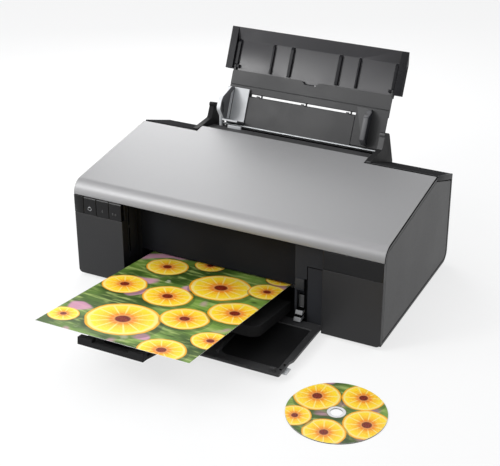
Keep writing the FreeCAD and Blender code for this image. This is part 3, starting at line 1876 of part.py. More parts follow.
def make_carriage():
    """The open box that carries the cartridges, with a sleeve for the rod and a belt clamp."""
    skin = d.carriage_wall
    low = d.carriage_left
    high = low + d.carriage_width
    front_y = behind(d.carriage_front)
    block_y = behind(d.carriage_block)
    body = box("carriage_body", (low, high), (front_y, block_y), (d.carriage_floor, d.carriage_top))
    block = box(
        "carriage_rear", (low, high), (block_y - 1, behind(d.carriage_back)), (d.carriage_block_floor, d.carriage_top)
    )
    hollow = box(
        "carriage_hollow",
        (low + skin, high - skin),
        (front_y + skin, block_y - skin),
        (d.carriage_floor + skin, d.carriage_top + 1),
    )
    front_dip = box(
        "carriage_front_dip",
        (low + 2 * skin, high - 2 * skin),
        (front_y - 1, front_y + skin + 1),
        (d.carriage_top - d.carriage_dip, d.carriage_top + 1),
    )
    middle = low + d.carriage_width / 2
    clamp = box(
        "carriage_clamp",
        (middle - d.clamp_width / 2, middle + d.clamp_width / 2),
        (behind(d.carriage_back) - 1, behind(d.pulley_y) - d.pulley_radius - gap - d.belt_wall - gap),
        (pulley_low() + d.pulley_flange, pulley_low() + d.pulley_flange + d.belt_width),
    )
    bore = rod("carriage_bore", "x", d.rod_radius + loose, low - 1, high + 1, behind(d.rod_y), d.rod_z)
    pieces = fuse("carriage_joined", body, block, clamp)
    keep(cut("carriage", pieces, hollow, front_dip, bore), "carriage")
    guide = rod("carriage_guide", "x", d.rod_radius, -d.chassis_x - d.chassis_wall, d.chassis_x + d.chassis_wall,
                behind(d.rod_y), d.rod_z)
    keep(guide, "carriage_rod")


def make_print_head():
    plate = box(
        "head_block",
        (d.head_left, d.head_left + d.head_width),
        (behind(d.head_front), behind(d.head_back)),
        (d.carriage_floor - d.head_height, d.carriage_floor),
    )
    rim = d.carriage_wall
    recess = box(
        "head_recess",
        (d.head_left + rim, d.head_left + d.head_width - rim),
        (behind(d.head_front) + rim, behind(d.head_back) - rim),
        (d.carriage_floor - d.head_height - 1, d.carriage_floor - d.head_height + d.head_recess),
    )
    return keep(cut("print_head", plate, recess), "print_head")


def make_cartridges():
    """Six ink cartridges, side by side in the carriage."""
    cartridges = []
    floor = d.carriage_floor + d.carriage_wall + gap
    depth = behind(d.carriage_front) + d.carriage_wall + gap
    spare = d.carriage_width - d.cartridge_pitch * (CARTRIDGES - 1) - d.cartridge_width
    first = d.carriage_left + spare / 2
    for number in range(CARTRIDGES):
        low = first + d.cartridge_pitch * number
        outline = [
            (depth, floor),
            (depth + d.cartridge_depth, floor),
            (depth + d.cartridge_depth, floor + d.cartridge_height),
            (depth, floor + d.cartridge_height),
        ]
        cartridges.append(
            prism(
                "cartridge_%d" % number,
                "along_x",
                outline,
                low,
                low + d.cartridge_width,
                {2: d.cartridge_round, 3: d.cartridge_round},
            )
        )
    return keep(group("ink_cartridges", *cartridges), "ink_cartridges")


def belt_loop(name, radius, low, high):
    y = behind(d.pulley_y)
    return fuse(
        name,
        box(name + "_runs", (-d.pulley_x, d.pulley_x), (y - radius, y + radius), (low, high)),
        rod(name + "_left", "z", radius, low, high, -d.pulley_x, y),
        rod(name + "_right", "z", radius, low, high, d.pulley_x, y),
    )


def make_belt():
    inside = d.pulley_radius + gap
    low = pulley_low() + d.pulley_flange + gap
    high = low + d.belt_width
    outer = belt_loop("belt_outer", inside + d.belt_wall, low, high)
    inner = belt_loop("belt_inner", inside, low - 1, high + 1)
    return keep(cut("timing_belt", outer, inner), "timing_belt")


def make_pulley(name, x):
    y = behind(d.pulley_y)
    low = pulley_low()
    high = pulley_high()
    pieces = [
        rod(name + "_hub", "z", d.pulley_radius, low, high, x, y),
        rod(name + "_lower", "z", d.pulley_radius + 1, low, low + d.pulley_flange, x, y),
        rod(name + "_upper", "z", d.pulley_radius + 1, high - d.pulley_flange, high, x, y),
    ]
    bore = rod(name + "_bore", "z", d.pulley_pin + loose, low - 1, high + 1, x, y)
    return keep(cut(name, fuse(name + "_body", *pieces), bore), name)


def make_carriage_motor():
    y = behind(d.pulley_y)
    top = d.shelf_z - gap
    can = rod("motor_can", "z", d.motor_radius, top - d.motor_height, top, -d.pulley_x, y)
    shaft = rod("motor_shaft", "z", d.pulley_pin, top - 1, pulley_high(), -d.pulley_x, y)
    return keep(fuse("carriage_motor", can, shaft), "carriage_motor")


def make_encoder_strip():
    strip = box(
        "encoder_strip",
        (-d.chassis_x + gap, d.chassis_x - gap),
        (behind(d.encoder_y), behind(d.encoder_y + d.encoder_wall)),
        (d.encoder_z, d.encoder_z + d.encoder_height),
    )
    return keep(strip, "encoder_strip")


# --------------------------------------------------------------- paper drive


def make_roller(name, y, z, radius, shaft, high):
    """A rubber roller on a steel shaft that runs through both end plates."""
    low = d.gear_x - d.gear_width / 2
    tyre = rod(name + "_tyre", "x", radius, d.roller_left, d.roller_right, behind(y), z)
    core = rod(name + "_core", "x", shaft, low, high, behind(y), z)
    return keep(fuse(name, tyre, core), name)


def make_pinch_rollers():
    y = behind(d.feed_y)
    z = pinch_z()
    reach = d.chassis_x + d.chassis_wall
    pieces = [rod("pinch_shaft", "x", d.pinch_shaft, -reach, reach, y, z)]
    for number in range(PINCH_ROLLERS):
        low = d.roller_left + d.pinch_margin + d.pinch_pitch * number
        pieces.append(rod("pinch_tyre_%d" % number, "x", d.pinch_radius, low, low + d.pinch_width, y, z))
    return keep(fuse("pinch_rollers", *pieces), "pinch_rollers")


def make_gear(name, teeth, y, shaft, phase):
    """A spur gear: a disc, one tooth repeated round it, and a bore."""
    body = doc.addObject("PartDesign::Body", name + "_blank")
    disc_sketch = new_sketch(body, name + "_disc", "along_x")
    root = teeth * d.gear_module / 2 - d.tooth_down
    circle = Part.Circle(FreeCAD.Vector(), Z_AXIS, root.value)
    disc_sketch.addGeometry(circle, False)
    disc_sketch.addConstraint(Sketcher.Constraint("Coincident", 0, 3, -1, 1))
    number = disc_sketch.addConstraint(Sketcher.Constraint("Radius", 0, root.value))
    disc_sketch.setExpression("Constraints[%d]" % number, root.text)
    disc_pad = body.newObject("PartDesign::Pad", name + "_disc_pad")
    disc_pad.Profile = disc_sketch
    bind(disc_pad, "Length", d.gear_width)
    tooth_sketch = new_sketch(body, name + "_tooth", "along_x")
    tip = teeth * d.gear_module / 2 + d.tooth_up
    outline = [
        (root - d.tooth_up, -d.tooth_root / 2),
        (tip, -d.tooth_top / 2),
        (tip, d.tooth_top / 2),
        (root - d.tooth_up, d.tooth_root / 2),
    ]
    draw_outline(tooth_sketch, outline, {})
    tooth_pad = body.newObject("PartDesign::Pad", name + "_tooth_pad")
    tooth_pad.Profile = tooth_sketch
    bind(tooth_pad, "Length", d.gear_width)
    pattern = body.newObject("PartDesign::PolarPattern", name + "_teeth")
    pattern.Originals = [tooth_pad]
    pattern.Axis = (tooth_sketch, ["N_Axis"])
    pattern.Angle = 360
    bind(pattern, "Occurrences", teeth)
    body.Tip = pattern
    bore = rod(name + "_bore", "x", shaft + loose, -1, d.gear_width + 1, 0, 0)
    gear = cut(name, body, bore)
    gear.Placement = FreeCAD.Placement(FreeCAD.Vector(), FreeCAD.Rotation(X_AXIS, phase.value))
    bind(gear, ".Placement.Rotation.Angle", phase)
    bind(gear, ".Placement.Base.x", d.gear_x - d.gear_width / 2)
    bind(gear, ".Placement.Base.y", behind(y))
    bind(gear, ".Placement.Base.z", d.roller_z)
    return keep(gear, name)


def make_feed_motor():
    y = behind(pinion_y())
    inside = -d.chassis_x + gap
    can = rod("feed_motor_can", "x", d.feed_motor_radius, inside, inside + d.feed_motor_length, y, d.roller_z)
    shaft = rod("feed_motor_shaft", "x", d.pinch_shaft, d.gear_x - d.gear_width / 2, inside + 1, y, d.roller_z)
    return keep(fuse("feed_motor", can, shaft), "feed_motor")


def make_platen():
    """The ribbed bridge under the print head, standing on four legs."""
    front_y = behind(d.platen_front)
    back_y = behind(d.platen_back)
    top = d.platen_z + d.platen_height
    rib_floor = top - d.platen_rib * 2
    pieces = [box("platen_plate", (d.roller_left, d.roller_right), (front_y, back_y), (d.platen_z, rib_floor))]
    step = (d.roller_right - d.roller_left - d.platen_rib) / (PLATEN_RIBS - 1)
    for number in range(PLATEN_RIBS):
        low = d.roller_left + step * number
        pieces.append(
            box("platen_rib_%d" % number, (low, low + d.platen_rib), (front_y, back_y), (rib_floor - 1, top))
        )
    for number, x in enumerate((d.roller_left, d.roller_right - d.platen_leg)):
        for place, y in enumerate((front_y, back_y - d.platen_leg)):
            pieces.append(
                box(
                    "platen_leg_%d_%d" % (number, place),
                    (x, x + d.platen_leg),
                    (y, y + d.platen_leg),
                    (d.pan_floor + gap, d.platen_z + 1),
                )
            )
    return keep(fuse("platen", *pieces), "platen")


def make_cap_station():
    """The block at the head's resting place, with a cup that closes round the nozzles."""
    block = box(
        "cap_block", (d.cap_left, d.cap_right), (behind(d.cap_front), behind(d.cap_back)),
        (d.pan_floor + gap, d.cap_top)
    )
    rim = d.carriage_wall
    cup_x = (d.head_left + rim, d.head_left + d.head_width - rim)
    cup_y = (behind(d.head_front) + rim, behind(d.head_back) - rim)
    cup = box("cap_cup", cup_x, cup_y, (d.cap_top - 1, d.cap_top + d.cap_cup))
    inside = box(
        "cap_inside",
        (cup_x[0] + rim, cup_x[1] - rim),
        (cup_y[0] + rim, cup_y[1] - rim),
        (d.cap_top - 1, d.cap_top + d.cap_cup + 1),
    )
    return keep(cut("cap_station", fuse("cap_body", block, cup), inside), "cap_station")


def make_waste_pad():
    margin = d.platen_leg + gap
    pad = box(
        "waste_pad",
        (d.roller_left + margin, d.roller_right - margin),
        (behind(d.pad_front), behind(d.waste_back)),
        (d.pan_floor + gap, d.waste_top),
    )
    return keep(pad, "waste_pad")


# ----------------------------------------------------------------- electrics


def make_main_board():
    top = d.boss_height + d.board_wall
    board = box(
        "board_plate",
        (d.board_left, d.board_right),
        (board_front, board_back),
        (d.boss_height, top),
    )
    chips = [
        box(
            "board_chip_%d" % number,
            (d.board_left + left, d.board_left + left + width),
            (board_front + start, board_front + start + depth),
            (top - d.board_wall / 2, top + d.chip_height),
        )
        for number, (left, width, start, depth) in enumerate(CHIPS)
    ]
    return keep(fuse("main_board", board, *chips), "main_board")


def make_usb_socket():
    low = usb_low()
    end = back_face(low) - 2 * gap
    shell = box(
        "usb_shell",
        (d.usb_x, d.usb_x + d.usb_width),
        (board_back - d.usb_width / 2, end),
        (low, low + d.usb_height),
    )
    hollow = box(
        "usb_hollow",
        (d.usb_x + d.usb_wall, d.usb_x + d.usb_width - d.usb_wall),
        (board_back, end + 1),
        (low + d.usb_wall, low + d.usb_height - d.usb_wall),
    )
    tongue = box(
        "usb_tongue",
        (d.usb_x + d.usb_tongue_in, d.usb_x + d.usb_width - d.usb_tongue_in),
        (board_back - 1, end - d.usb_wall),
        (low + d.usb_tongue_up, low + d.usb_height - d.usb_tongue_up),
    )
    return keep(fuse("usb_socket", cut("usb_open", shell, hollow), tongue), "usb_socket")


def make_power_supply():
    """A closed box with vent slots along its top."""
    skin = d.frame_wall
    low_z = d.pan_floor + gap
    case = box(
        "supply_case",
        (d.supply_left, d.supply_right),
        (supply_front, supply_back),
        (low_z, d.supply_top),
    )
    hollow = box(
        "supply_hollow",
        (d.supply_left + skin, d.supply_right - skin),
        (supply_front + skin, supply_back - skin),
        (low_z + skin, d.supply_top - skin),
    )
    vents = [
        box(
            "supply_vent_%d" % number,
            (d.supply_left + d.vent_pitch * (number + 1), d.supply_left + d.vent_pitch * (number + 1) + skin),
            (supply_front + 2 * skin, supply_back - 2 * skin),
            (d.supply_top - skin - 1, d.supply_top + 1),
        )
        for number in range(VENTS)
    ]
    return keep(cut("power_supply", case, hollow, *vents), "power_supply")


def make_mains_inlet():
    """A two-pin mains socket that looks out through the rear cover."""
    wall = d.inlet_wall
    start = supply_back + gap
    end = back_face(d.inlet_z) - gap
    shell = box(
        "inlet_shell",
        (d.inlet_x, d.inlet_x + d.inlet_width),
        (start, end),
        (d.inlet_z, d.inlet_z + d.inlet_height),
    )
    hollow = box(
        "inlet_hollow",
        (d.inlet_x + wall, d.inlet_x + d.inlet_width - wall),
        (start + wall, end + 1),
        (d.inlet_z + wall, d.inlet_z + d.inlet_height - wall),
    )
    middle = d.inlet_x + d.inlet_width / 2
    pins = [
        rod(
            "inlet_pin_%d" % number,
            "y",
            d.inlet_pin,
            start + 1,
            end - wall,
            middle + side * d.inlet_pin_spread,
            d.inlet_z + d.inlet_height / 2,
        )
        for number, side in enumerate((-1, 1))
    ]
    return keep(fuse("mains_inlet", cut("inlet_open", shell, hollow), *pins), "mains_inlet")


# ---------------------------------------------------------------- everything

CARTRIDGES = 6
PINCH_ROLLERS = 5
PLATEN_RIBS = 11
VENTS = 5
CHIPS = ((24, 28, 16, 28), (70, 14, 12, 14), (100, 22, 30, 18), (140, 10, 8, 32))

make_base_pan()
make_pan_posts()
make_feet()
make_side_panels()
make_front_panels()
make_right_trim()
make_buttons()
make_rear_cover()
make_screws()
make_rear_deck()
make_feeder_housing()
make_paper_support()
make_dust_cover()
make_hopper()
make_left_edge_guide()
make_right_edge_guide()
make_feeder_bar()
make_pickup()
make_paper_chute()
make_lid()
make_hinge_pins()
make_front_cover()
make_exit_frame()
make_disc_guide()
make_lever()
make_stacker()
make_stacker_extension()
make_sheet()
make_disc()
make_chassis()
make_carriage()
make_print_head()
make_cartridges()
make_belt()
make_pulley("drive_pulley", -d.pulley_x)
make_pulley("idler_pulley", d.pulley_x)
make_carriage_motor()
make_encoder_strip()
shaft_end = d.chassis_x + d.chassis_wall + 1
make_roller("feed_roller", d.feed_y, d.roller_z, d.feed_radius, d.shaft_radius, shaft_end)
make_roller("eject_roller", eject_y(), d.roller_z, d.eject_radius, d.shaft_radius, shaft_end)
make_pinch_rollers()
make_gear("feed_gear", d.feed_teeth, d.feed_y, d.shaft_radius, as_size(0))
make_gear("idler_gear", d.idler_teeth, idler_y(), d.shaft_radius, as_size(180) / d.idler_teeth)
make_gear("eject_gear", d.feed_teeth, eject_y(), d.shaft_radius, as_size(0))
make_gear("feed_pinion", d.pinion_teeth, pinion_y(), d.pinch_shaft, as_size(180) / d.pinion_teeth)
make_feed_motor()
make_platen()
make_cap_station()
make_waste_pad()
make_main_board()
make_usb_socket()
make_power_supply()
make_mains_inlet()

doc.recompute()

for thing in doc.Objects:
    if "Invalid" in thing.State or "Error" in thing.State:
        raise RuntimeError("%s did not build: %s" % (thing.Label, thing.State))

os.makedirs("parts", exist_ok=True)
for thing in sub_parts:
    shape = thing.Shape
    if shape.isNull() or not shape.isValid() or not shape.Solids:
        raise RuntimeError("%s has no valid solid" % thing.Label)
    shape.exportStep("parts/%s.step" % thing.Label)
    bounds = shape.BoundBox
    print("%-18s %2d solids  x %7.1f %7.1f  y %7.1f %7.1f  z %6.1f %6.1f" % (
        thing.Label, len(shape.Solids), bounds.XMin, bounds.XMax, bounds.YMin, bounds.YMax, bounds.ZMin, bounds.ZMax))
print("%d sub-parts" % len(sub_parts))
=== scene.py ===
# %% [markdown]
# # A disc label printer in Blender
# The printer comes in as a finished frame: every moulding, roller and gear is already a solid of the
# right size, in metres, standing where it belongs. This lesson gives it its looks. We set the camera and
# the light first, because every finish is judged through them. Then come the surface effects, the
# finishes, the mouldings with softened edges, and last the printed sheet and disc.

# %% Load the frame
import json
import math

import bpy
from mathutils import Matrix, Vector


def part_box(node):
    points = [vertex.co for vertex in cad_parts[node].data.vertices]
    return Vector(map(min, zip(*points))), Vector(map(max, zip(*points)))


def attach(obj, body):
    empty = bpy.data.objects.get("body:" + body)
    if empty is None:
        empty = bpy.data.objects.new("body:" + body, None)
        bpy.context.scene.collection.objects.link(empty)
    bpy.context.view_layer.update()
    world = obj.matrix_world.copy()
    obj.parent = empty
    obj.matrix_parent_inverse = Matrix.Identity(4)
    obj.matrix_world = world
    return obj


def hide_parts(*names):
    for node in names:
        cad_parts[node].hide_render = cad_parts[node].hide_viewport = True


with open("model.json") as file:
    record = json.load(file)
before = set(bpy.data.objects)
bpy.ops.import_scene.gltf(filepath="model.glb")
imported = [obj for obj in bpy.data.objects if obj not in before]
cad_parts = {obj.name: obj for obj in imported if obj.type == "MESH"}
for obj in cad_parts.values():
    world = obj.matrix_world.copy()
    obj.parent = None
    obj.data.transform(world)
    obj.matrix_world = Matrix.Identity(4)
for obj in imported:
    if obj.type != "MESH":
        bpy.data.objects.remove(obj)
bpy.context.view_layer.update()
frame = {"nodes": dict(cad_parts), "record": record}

bpy.ops.object.select_all(action="DESELECT")
nodes = frame["nodes"]
body_of_node = {n: b for b, ns in frame["record"]["behaviour"]["bodies"].items() for n in ns}

# %% [markdown]
# A long lens from the front right, a little above, keeps the far edges of the lid nearly parallel. We
# give the camera its place and its turn directly: tilted down from level, then turned to the left.

# %% Camera
LENS_MM, SENSOR_MM = 86.443, 36
CAMERA_AT = (0.647873, -1.347462, 0.821556)
DOWN_DEG, ROLL_DEG, TURN_DEG = 27.268, 0.066, 26.447

camera_data = bpy.data.cameras.new("view")
camera_data.lens = LENS_MM
camera_data.sensor_width = SENSOR_MM
camera = bpy.data.objects.new("view", camera_data)
bpy.context.scene.collection.objects.link(camera)
camera.location = CAMERA_AT
camera.rotation_euler = [math.radians(v) for v in (90 - DOWN_DEG, ROLL_DEG, TURN_DEG)]
bpy.context.scene.camera = camera
bpy.context.scene.view_settings.view_transform = "Standard"
print("lens", LENS_MM, "mm from", CAMERA_AT)

# %% [markdown]
# The printer stands on a plain pale table. A seamless sheet of paper would do in a studio; here a wide
# flat square is enough, because what the camera and shiny parts see beyond it is a white world.

# %% Table
TABLE_Z = -0.004
TABLE_SIZE = 24.0

bpy.ops.mesh.primitive_plane_add(size=TABLE_SIZE, location=(0, 0, TABLE_Z))
table = bpy.context.object
table.name = "table"
print("table at", TABLE_Z, "m")

# %% [markdown]
# A plain white background is a matter of what the camera sees, not of more light. The first helper makes
# an empty material. The second lays plain white over a lit surface, but only where the camera, a mirror
# or glass looks at it, so the table still carries the printer's shadow.

# %% Material helpers


def new_material(name):
    """A material with an empty node tree, its shader and its output."""
    made = bpy.data.materials.new(name)
    made.use_nodes = True
    tree = made.node_tree
    tree.nodes.clear()
    output = tree.nodes.new("ShaderNodeOutputMaterial")
    shader = tree.nodes.new("ShaderNodeBsdfPrincipled")
    tree.links.new(shader.outputs[0], output.inputs[0])
    return made, tree, shader


def white_mix(tree, surface, output, share):
    """What the camera, mirrors and glass see is this share of plain white over the lit surface."""
    path = tree.nodes.new("ShaderNodeLightPath")
    seen = path.outputs["Is Camera Ray"]
    for ray in ("Is Glossy Ray", "Is Transmission Ray"):
        either = tree.nodes.new("ShaderNodeMath")
        either.operation = "MAXIMUM"
        tree.links.new(seen, either.inputs[0])
        tree.links.new(path.outputs[ray], either.inputs[1])
        seen = either.outputs[0]
    part = tree.nodes.new("ShaderNodeMath")
    part.operation = "MULTIPLY"
    part.inputs[1].default_value = share
    tree.links.new(seen, part.inputs[0])
    is_world = "Background" in surface.node.bl_idname
    white = tree.nodes.new("ShaderNodeBackground" if is_world else "ShaderNodeEmission")
    white.inputs["Color"].default_value = (1, 1, 1, 1)
    white.inputs["Strength"].default_value = 1.0
    mix = tree.nodes.new("ShaderNodeMixShader")
    tree.links.new(part.outputs[0], mix.inputs[0])
    tree.links.new(surface, mix.inputs[1])
    tree.links.new(white.outputs[0], mix.inputs[2])
    tree.links.new(mix.outputs[0], output)


# %% [markdown]
# The table is a pale matt paint, and about three quarters of what the camera sees of it is plain white.
# More white would wash out the shadow that the printer stands on. The world gives a soft fill light,
# slightly blue as from a window, and shows as white.

# %% Table paint and world
TABLE_WHITE = 0.72
TABLE_GREY = (0.88, 0.88, 0.88, 1)
FILL_COLOUR, FILL_STRENGTH = (0.9, 0.92, 0.95, 1), 0.5

table_paint, tree, shader = new_material("table_paint")
shader.inputs["Base Color"].default_value = TABLE_GREY
shader.inputs["Roughness"].default_value = 0.9
shader.inputs["Specular IOR Level"].default_value = 0.1
white_mix(tree, shader.outputs[0], tree.nodes["Material Output"].inputs[0], TABLE_WHITE)
table.data.materials.append(table_paint)

world = bpy.data.worlds.new("studio")
bpy.context.scene.world = world
world.use_nodes = True
tree = world.node_tree
tree.nodes.clear()
world_out = tree.nodes.new("ShaderNodeOutputWorld")
fill = tree.nodes.new("ShaderNodeBackground")
fill.inputs["Color"].default_value = FILL_COLOUR
fill.inputs["Strength"].default_value = FILL_STRENGTH
white_mix(tree, fill.outputs[0], world_out.inputs[0], 1.0)
print("world fill", FILL_STRENGTH)

# %% [markdown]
# A wide lamp overhead gives the plain level of light. The lid needs more care, because metal paint shows
# what it faces: from the camera the flat top mirrors a place high behind the printer on the left. A
# softbox stands there, near enough that only the left of the lid meets it, and the paint fades to the
# right. A faint strip above it fills that fade. A long strip over the front draws the bright line along
# the rolled front edge. Two small softboxes below that strip light the dust cover and the lip under it,
# and a lamp far off behind on the right keeps the side from going black.

# %% Lamps
LAMPS = (
    # name, place, aim, width, height, watts
    ("overhead", (-0.5, 0.05, 2.2), (0, 0, 0), 2.4, 1.4, 13),
    ("lid_softbox", (-0.52, 0.7, 0.54), (-0.1, 0, 0.15), 0.56, 0.3, 3.3),
    ("back_light", (-0.3, 0.5, 0.85), (-0.05, 0.05, 0.16), 0.8, 0.2, 0.5),
    ("front_strip", (-0.95, -0.85, 1.35), (-0.05, -0.13, 0.14), 2.0, 0.4, 9),
    ("cover_softbox", (-0.76, -1.0, 0.9), (-0.05, 0.18, 0.25), 0.4, 0.4, 8),
    ("lip_softbox", (-0.72, -0.88, 0.12), (-0.12, 0.19, 0.26), 0.2, 0.14, 1.0),
    ("side_fill", (1.6, 0.9, 1.1), (0.22, 0.05, 0.1), 1.0, 1.0, 7),
)
for name, place, aim, wide, high, watts in LAMPS:
    lamp_data = bpy.data.lights.new(name, "AREA")
    lamp_data.shape = "RECTANGLE"
    lamp_data.size = wide
    lamp_data.size_y = high
    lamp_data.energy = watts
    lamp = bpy.data.objects.new(name, lamp_data)
    bpy.context.scene.collection.objects.link(lamp)
    lamp.location = place
    lamp.rotation_euler = (Vector(place) - Vector(aim)).to_track_quat("Z", "Y").to_euler()
    print(name, watts, "W")

# %% [markdown]
# ## Surface effects
# No moulding is perfectly even. Three node groups, each built once, are shared by nearly all finishes:
# the fine grain of moulded plastic, the soft mottling and dust of handling, and the edges, which are
# rounded and worn pale. Wiring nodes one by one takes many lines, so a small class adds and joins them.

# %% A small node builder


class Graph:
    """Adds nodes to a tree in one line each, and joins them."""

    def __init__(self, tree):
        self.tree = tree

    def put(self, kind, inputs=(), **settings):
        node = self.tree.nodes.new("ShaderNode" + kind)
        for key, value in settings.items():
            setattr(node, key, value)
        for key, value in dict(inputs).items():
            if hasattr(value, "is_output"):
                self.tree.links.new(value, node.inputs[key])
            else:
                node.inputs[key].default_value = value
        return node

    def math(self, operation, first, second=0.0, third=0.0, clamp=False):
        node = self.put("Math", {0: first, 1: second, 2: third}, operation=operation, use_clamp=clamp)
        return node.outputs[0]

    def noise(self, vector, scale, detail=3.0, rough=0.5):
        inputs = {"Vector": vector, "Scale": scale, "Detail": detail, "Roughness": rough}
        return self.put("TexNoise", inputs).outputs[0]

    def spread(self, value, low, high, to_low=0.0, to_high=1.0):
        """Maps low..high to to_low..to_high, smoothly and within those limits."""
        node = self.put(
            "MapRange",
            {"Value": value, "From Min": low, "From Max": high, "To Min": to_low, "To Max": to_high},
            interpolation_type="SMOOTHSTEP",
        )
        return node.outputs[0]

    def blend(self, factor, first, second, mode="MIX"):
        node = self.put("Mix", data_type="RGBA", blend_type=mode)
        for socket, value in ((node.inputs[0], factor), (node.inputs[6], first), (node.inputs[7], second)):
            if hasattr(value, "is_output"):
                self.tree.links.new(value, socket)
            else:
                socket.default_value = value
        return node.outputs[2]

    def vector(self, operation, first, second=(0, 0, 0)):
        node = self.put("VectorMath", {0: first, 1: second}, operation=operation)
        return node.outputs["Value"] if operation in ("LENGTH", "DOT_PRODUCT") else node.outputs[0]


def new_group(name, inputs, outputs):
    """A node group with named sockets: inputs as (name, kind, default), outputs as (name, kind)."""
    group = bpy.data.node_groups.new(name, "ShaderNodeTree")
    for label, kind, default in inputs:
        socket = group.interface.new_socket(label, in_out="INPUT", socket_type="NodeSocket" + kind)
        if default is not None:
            socket.default_value = default
    for label, kind in outputs:
        group.interface.new_socket(label, in_out="OUTPUT", socket_type="NodeSocket" + kind)
    source = group.nodes.new("NodeGroupInput")
    sink = group.nodes.new("NodeGroupOutput")
    return group, Graph(group), source.outputs, sink.inputs


# %% [markdown]
# Moulded plastic carries the fine grain of its tool. A picture of grain would repeat and blur up close, so
# the group works it out: rounded cells with a slower noise over them. It gives the height for a bump, and
# a mask that makes the high spots a little duller.

# %% Moulded grain
grain_group, g, given, result = new_group(
    "moulded_grain",
    (("Vector", "Vector", None), ("Scale", "Float", 1500.0), ("Depth", "Float", 0.00004)),
    (("Height", "Float"), ("Mask", "Float")),
)
cell_inputs = {"Vector": given["Vector"], "Scale": given["Scale"]}
cells = g.put("TexVoronoi", cell_inputs, feature="SMOOTH_F1").outputs[0]
wide = g.noise(given["Vector"], 260.0, 2.0)
mixed = g.math("ADD", g.math("MULTIPLY", cells, 0.7), g.math("MULTIPLY", wide, 0.5))
g.tree.links.new(g.math("MULTIPLY", mixed, given["Depth"]), result["Height"])
g.tree.links.new(g.spread(mixed, 0.3, 0.9), result["Mask"])
print(grain_group.name, len(grain_group.nodes), "nodes")

# %% [markdown]
# Hands leave soft clouds of gloss, and dust settles as fine specks on faces that look up. Painted by hand,
# they would need a flat map of every piece; noise in the piece's own space needs none and has no seams.
# The group gives one mask for each.

# %% Handling marks
handling_group, g, given, result = new_group(
    "handling",
    (("Vector", "Vector", None), ("Scale", "Float", 9.0)),
    (("Mask", "Float"), ("Dust", "Float")),
)
cloud = g.noise(given["Vector"], given["Scale"], 5.0, 0.6)
g.tree.links.new(g.spread(cloud, 0.35, 0.7), result["Mask"])
geometry = g.put("NewGeometry")
up = g.put("SeparateXYZ", {0: geometry.outputs["Normal"]}).outputs[2]
specks = g.noise(given["Vector"], 900.0, 2.0, 0.7)
settled = g.math("MULTIPLY", g.spread(up, 0.4, 1.0), g.spread(specks, 0.62, 0.78))
g.tree.links.new(settled, result["Dust"])
print(handling_group.name, len(handling_group.nodes), "nodes")

# %% [markdown]
# Every edge from a tool has a small rounding. Cutting it into every mesh costs many faces, so the small
# parts get it from a Bevel node, which gives the normal that such a rounding would have. Where that
# differs from the true normal there is an edge, and in patches that edge is worn paler.

# %% Worn and rounded edges
edge_group, g, given, result = new_group(
    "edge_wear",
    (("Vector", "Vector", None), ("Radius", "Float", 0.0008)),
    (("Normal", "Vector"), ("Mask", "Float")),
)
rounded = g.put("Bevel", {"Radius": given["Radius"]}, samples=6)
geometry = g.put("NewGeometry")
sameness = g.vector("DOT_PRODUCT", rounded.outputs[0], geometry.outputs["Normal"])
patchy = g.spread(g.noise(given["Vector"], 70.0, 4.0, 0.65), 0.4, 0.65)
edge = g.math("MULTIPLY", g.spread(sameness, 0.995, 0.9), patchy)
g.tree.links.new(rounded.outputs[0], result["Normal"])
g.tree.links.new(edge, result["Mask"])
print("surface effects:", [item.name for item in bpy.data.node_groups])

# %% [markdown]
# ## Finishes
# Nearly every piece is a moulded plastic that differs in colour, gloss and grain, so one function mixes
# the effects into a Principled shader. What is the same all over goes straight onto the shader.

# %% One recipe for moulded and metal finishes
finishes = {}
WORN_SHARE, WORN_TONE = 0.35, 0.9
DUST_SHARE, DUST_TONE, DUST_COVER = 0.12, 0.8, 0.35
GRAIN_DULLS = 0.04


def finish(name, colour, rough, grain=(1500.0, 0.00003), wear=0.12, radius=0.0007, vary=0.12,
           metallic=0.0, specular=0.5, alpha=1.0):
    """A finish with mottled gloss, grain, a little dust on top faces and paler outer edges."""
    made, tree, shader = new_material(name)
    g = Graph(tree)
    place = g.put("TexCoord").outputs["Object"]
    bumps = g.put("Group", {}, node_tree=grain_group)
    tree.links.new(place, bumps.inputs["Vector"])
    bumps.inputs["Scale"].default_value, bumps.inputs["Depth"].default_value = grain
    marks = g.put("Group", {}, node_tree=handling_group)
    tree.links.new(place, marks.inputs["Vector"])
    edges = g.put("Group", {}, node_tree=edge_group)
    tree.links.new(place, edges.inputs["Vector"])
    edges.inputs["Radius"].default_value = radius
    dark = tuple(c * (1 - vary) for c in colour) + (1,)
    light = tuple(min(1, c * (1 + vary)) for c in colour) + (1,)
    pale = tuple(min(1, c + WORN_SHARE * (WORN_TONE - c)) for c in colour) + (1,)
    dusty = tuple(min(1, c + DUST_SHARE * (DUST_TONE - c)) for c in colour) + (1,)
    body = g.blend(marks.outputs["Mask"], dark, light)
    body = g.blend(g.math("MULTIPLY", marks.outputs["Dust"], DUST_COVER), body, dusty)
    body = g.blend(g.math("MULTIPLY", edges.outputs["Mask"], wear), body, pale)
    tree.links.new(body, shader.inputs["Base Color"])
    least, most = rough * (1 - vary), min(1.0, rough * (1 + vary))
    shine = g.spread(marks.outputs["Mask"], 0.0, 1.0, least, most)
    shine = g.math("ADD", shine, g.math("MULTIPLY", bumps.outputs["Mask"], GRAIN_DULLS), clamp=True)
    tree.links.new(shine, shader.inputs["Roughness"])
    relief = g.put("Bump", {"Strength": 1.0, "Distance": 1.0, "Height": bumps.outputs["Height"],
                            "Normal": edges.outputs["Normal"]})
    tree.links.new(relief.outputs[0], shader.inputs["Normal"])
    shader.inputs["Metallic"].default_value = metallic
    shader.inputs["Specular IOR Level"].default_value = specular
    shader.inputs["Alpha"].default_value = alpha
    finishes[name] = made
    return made, g, shader


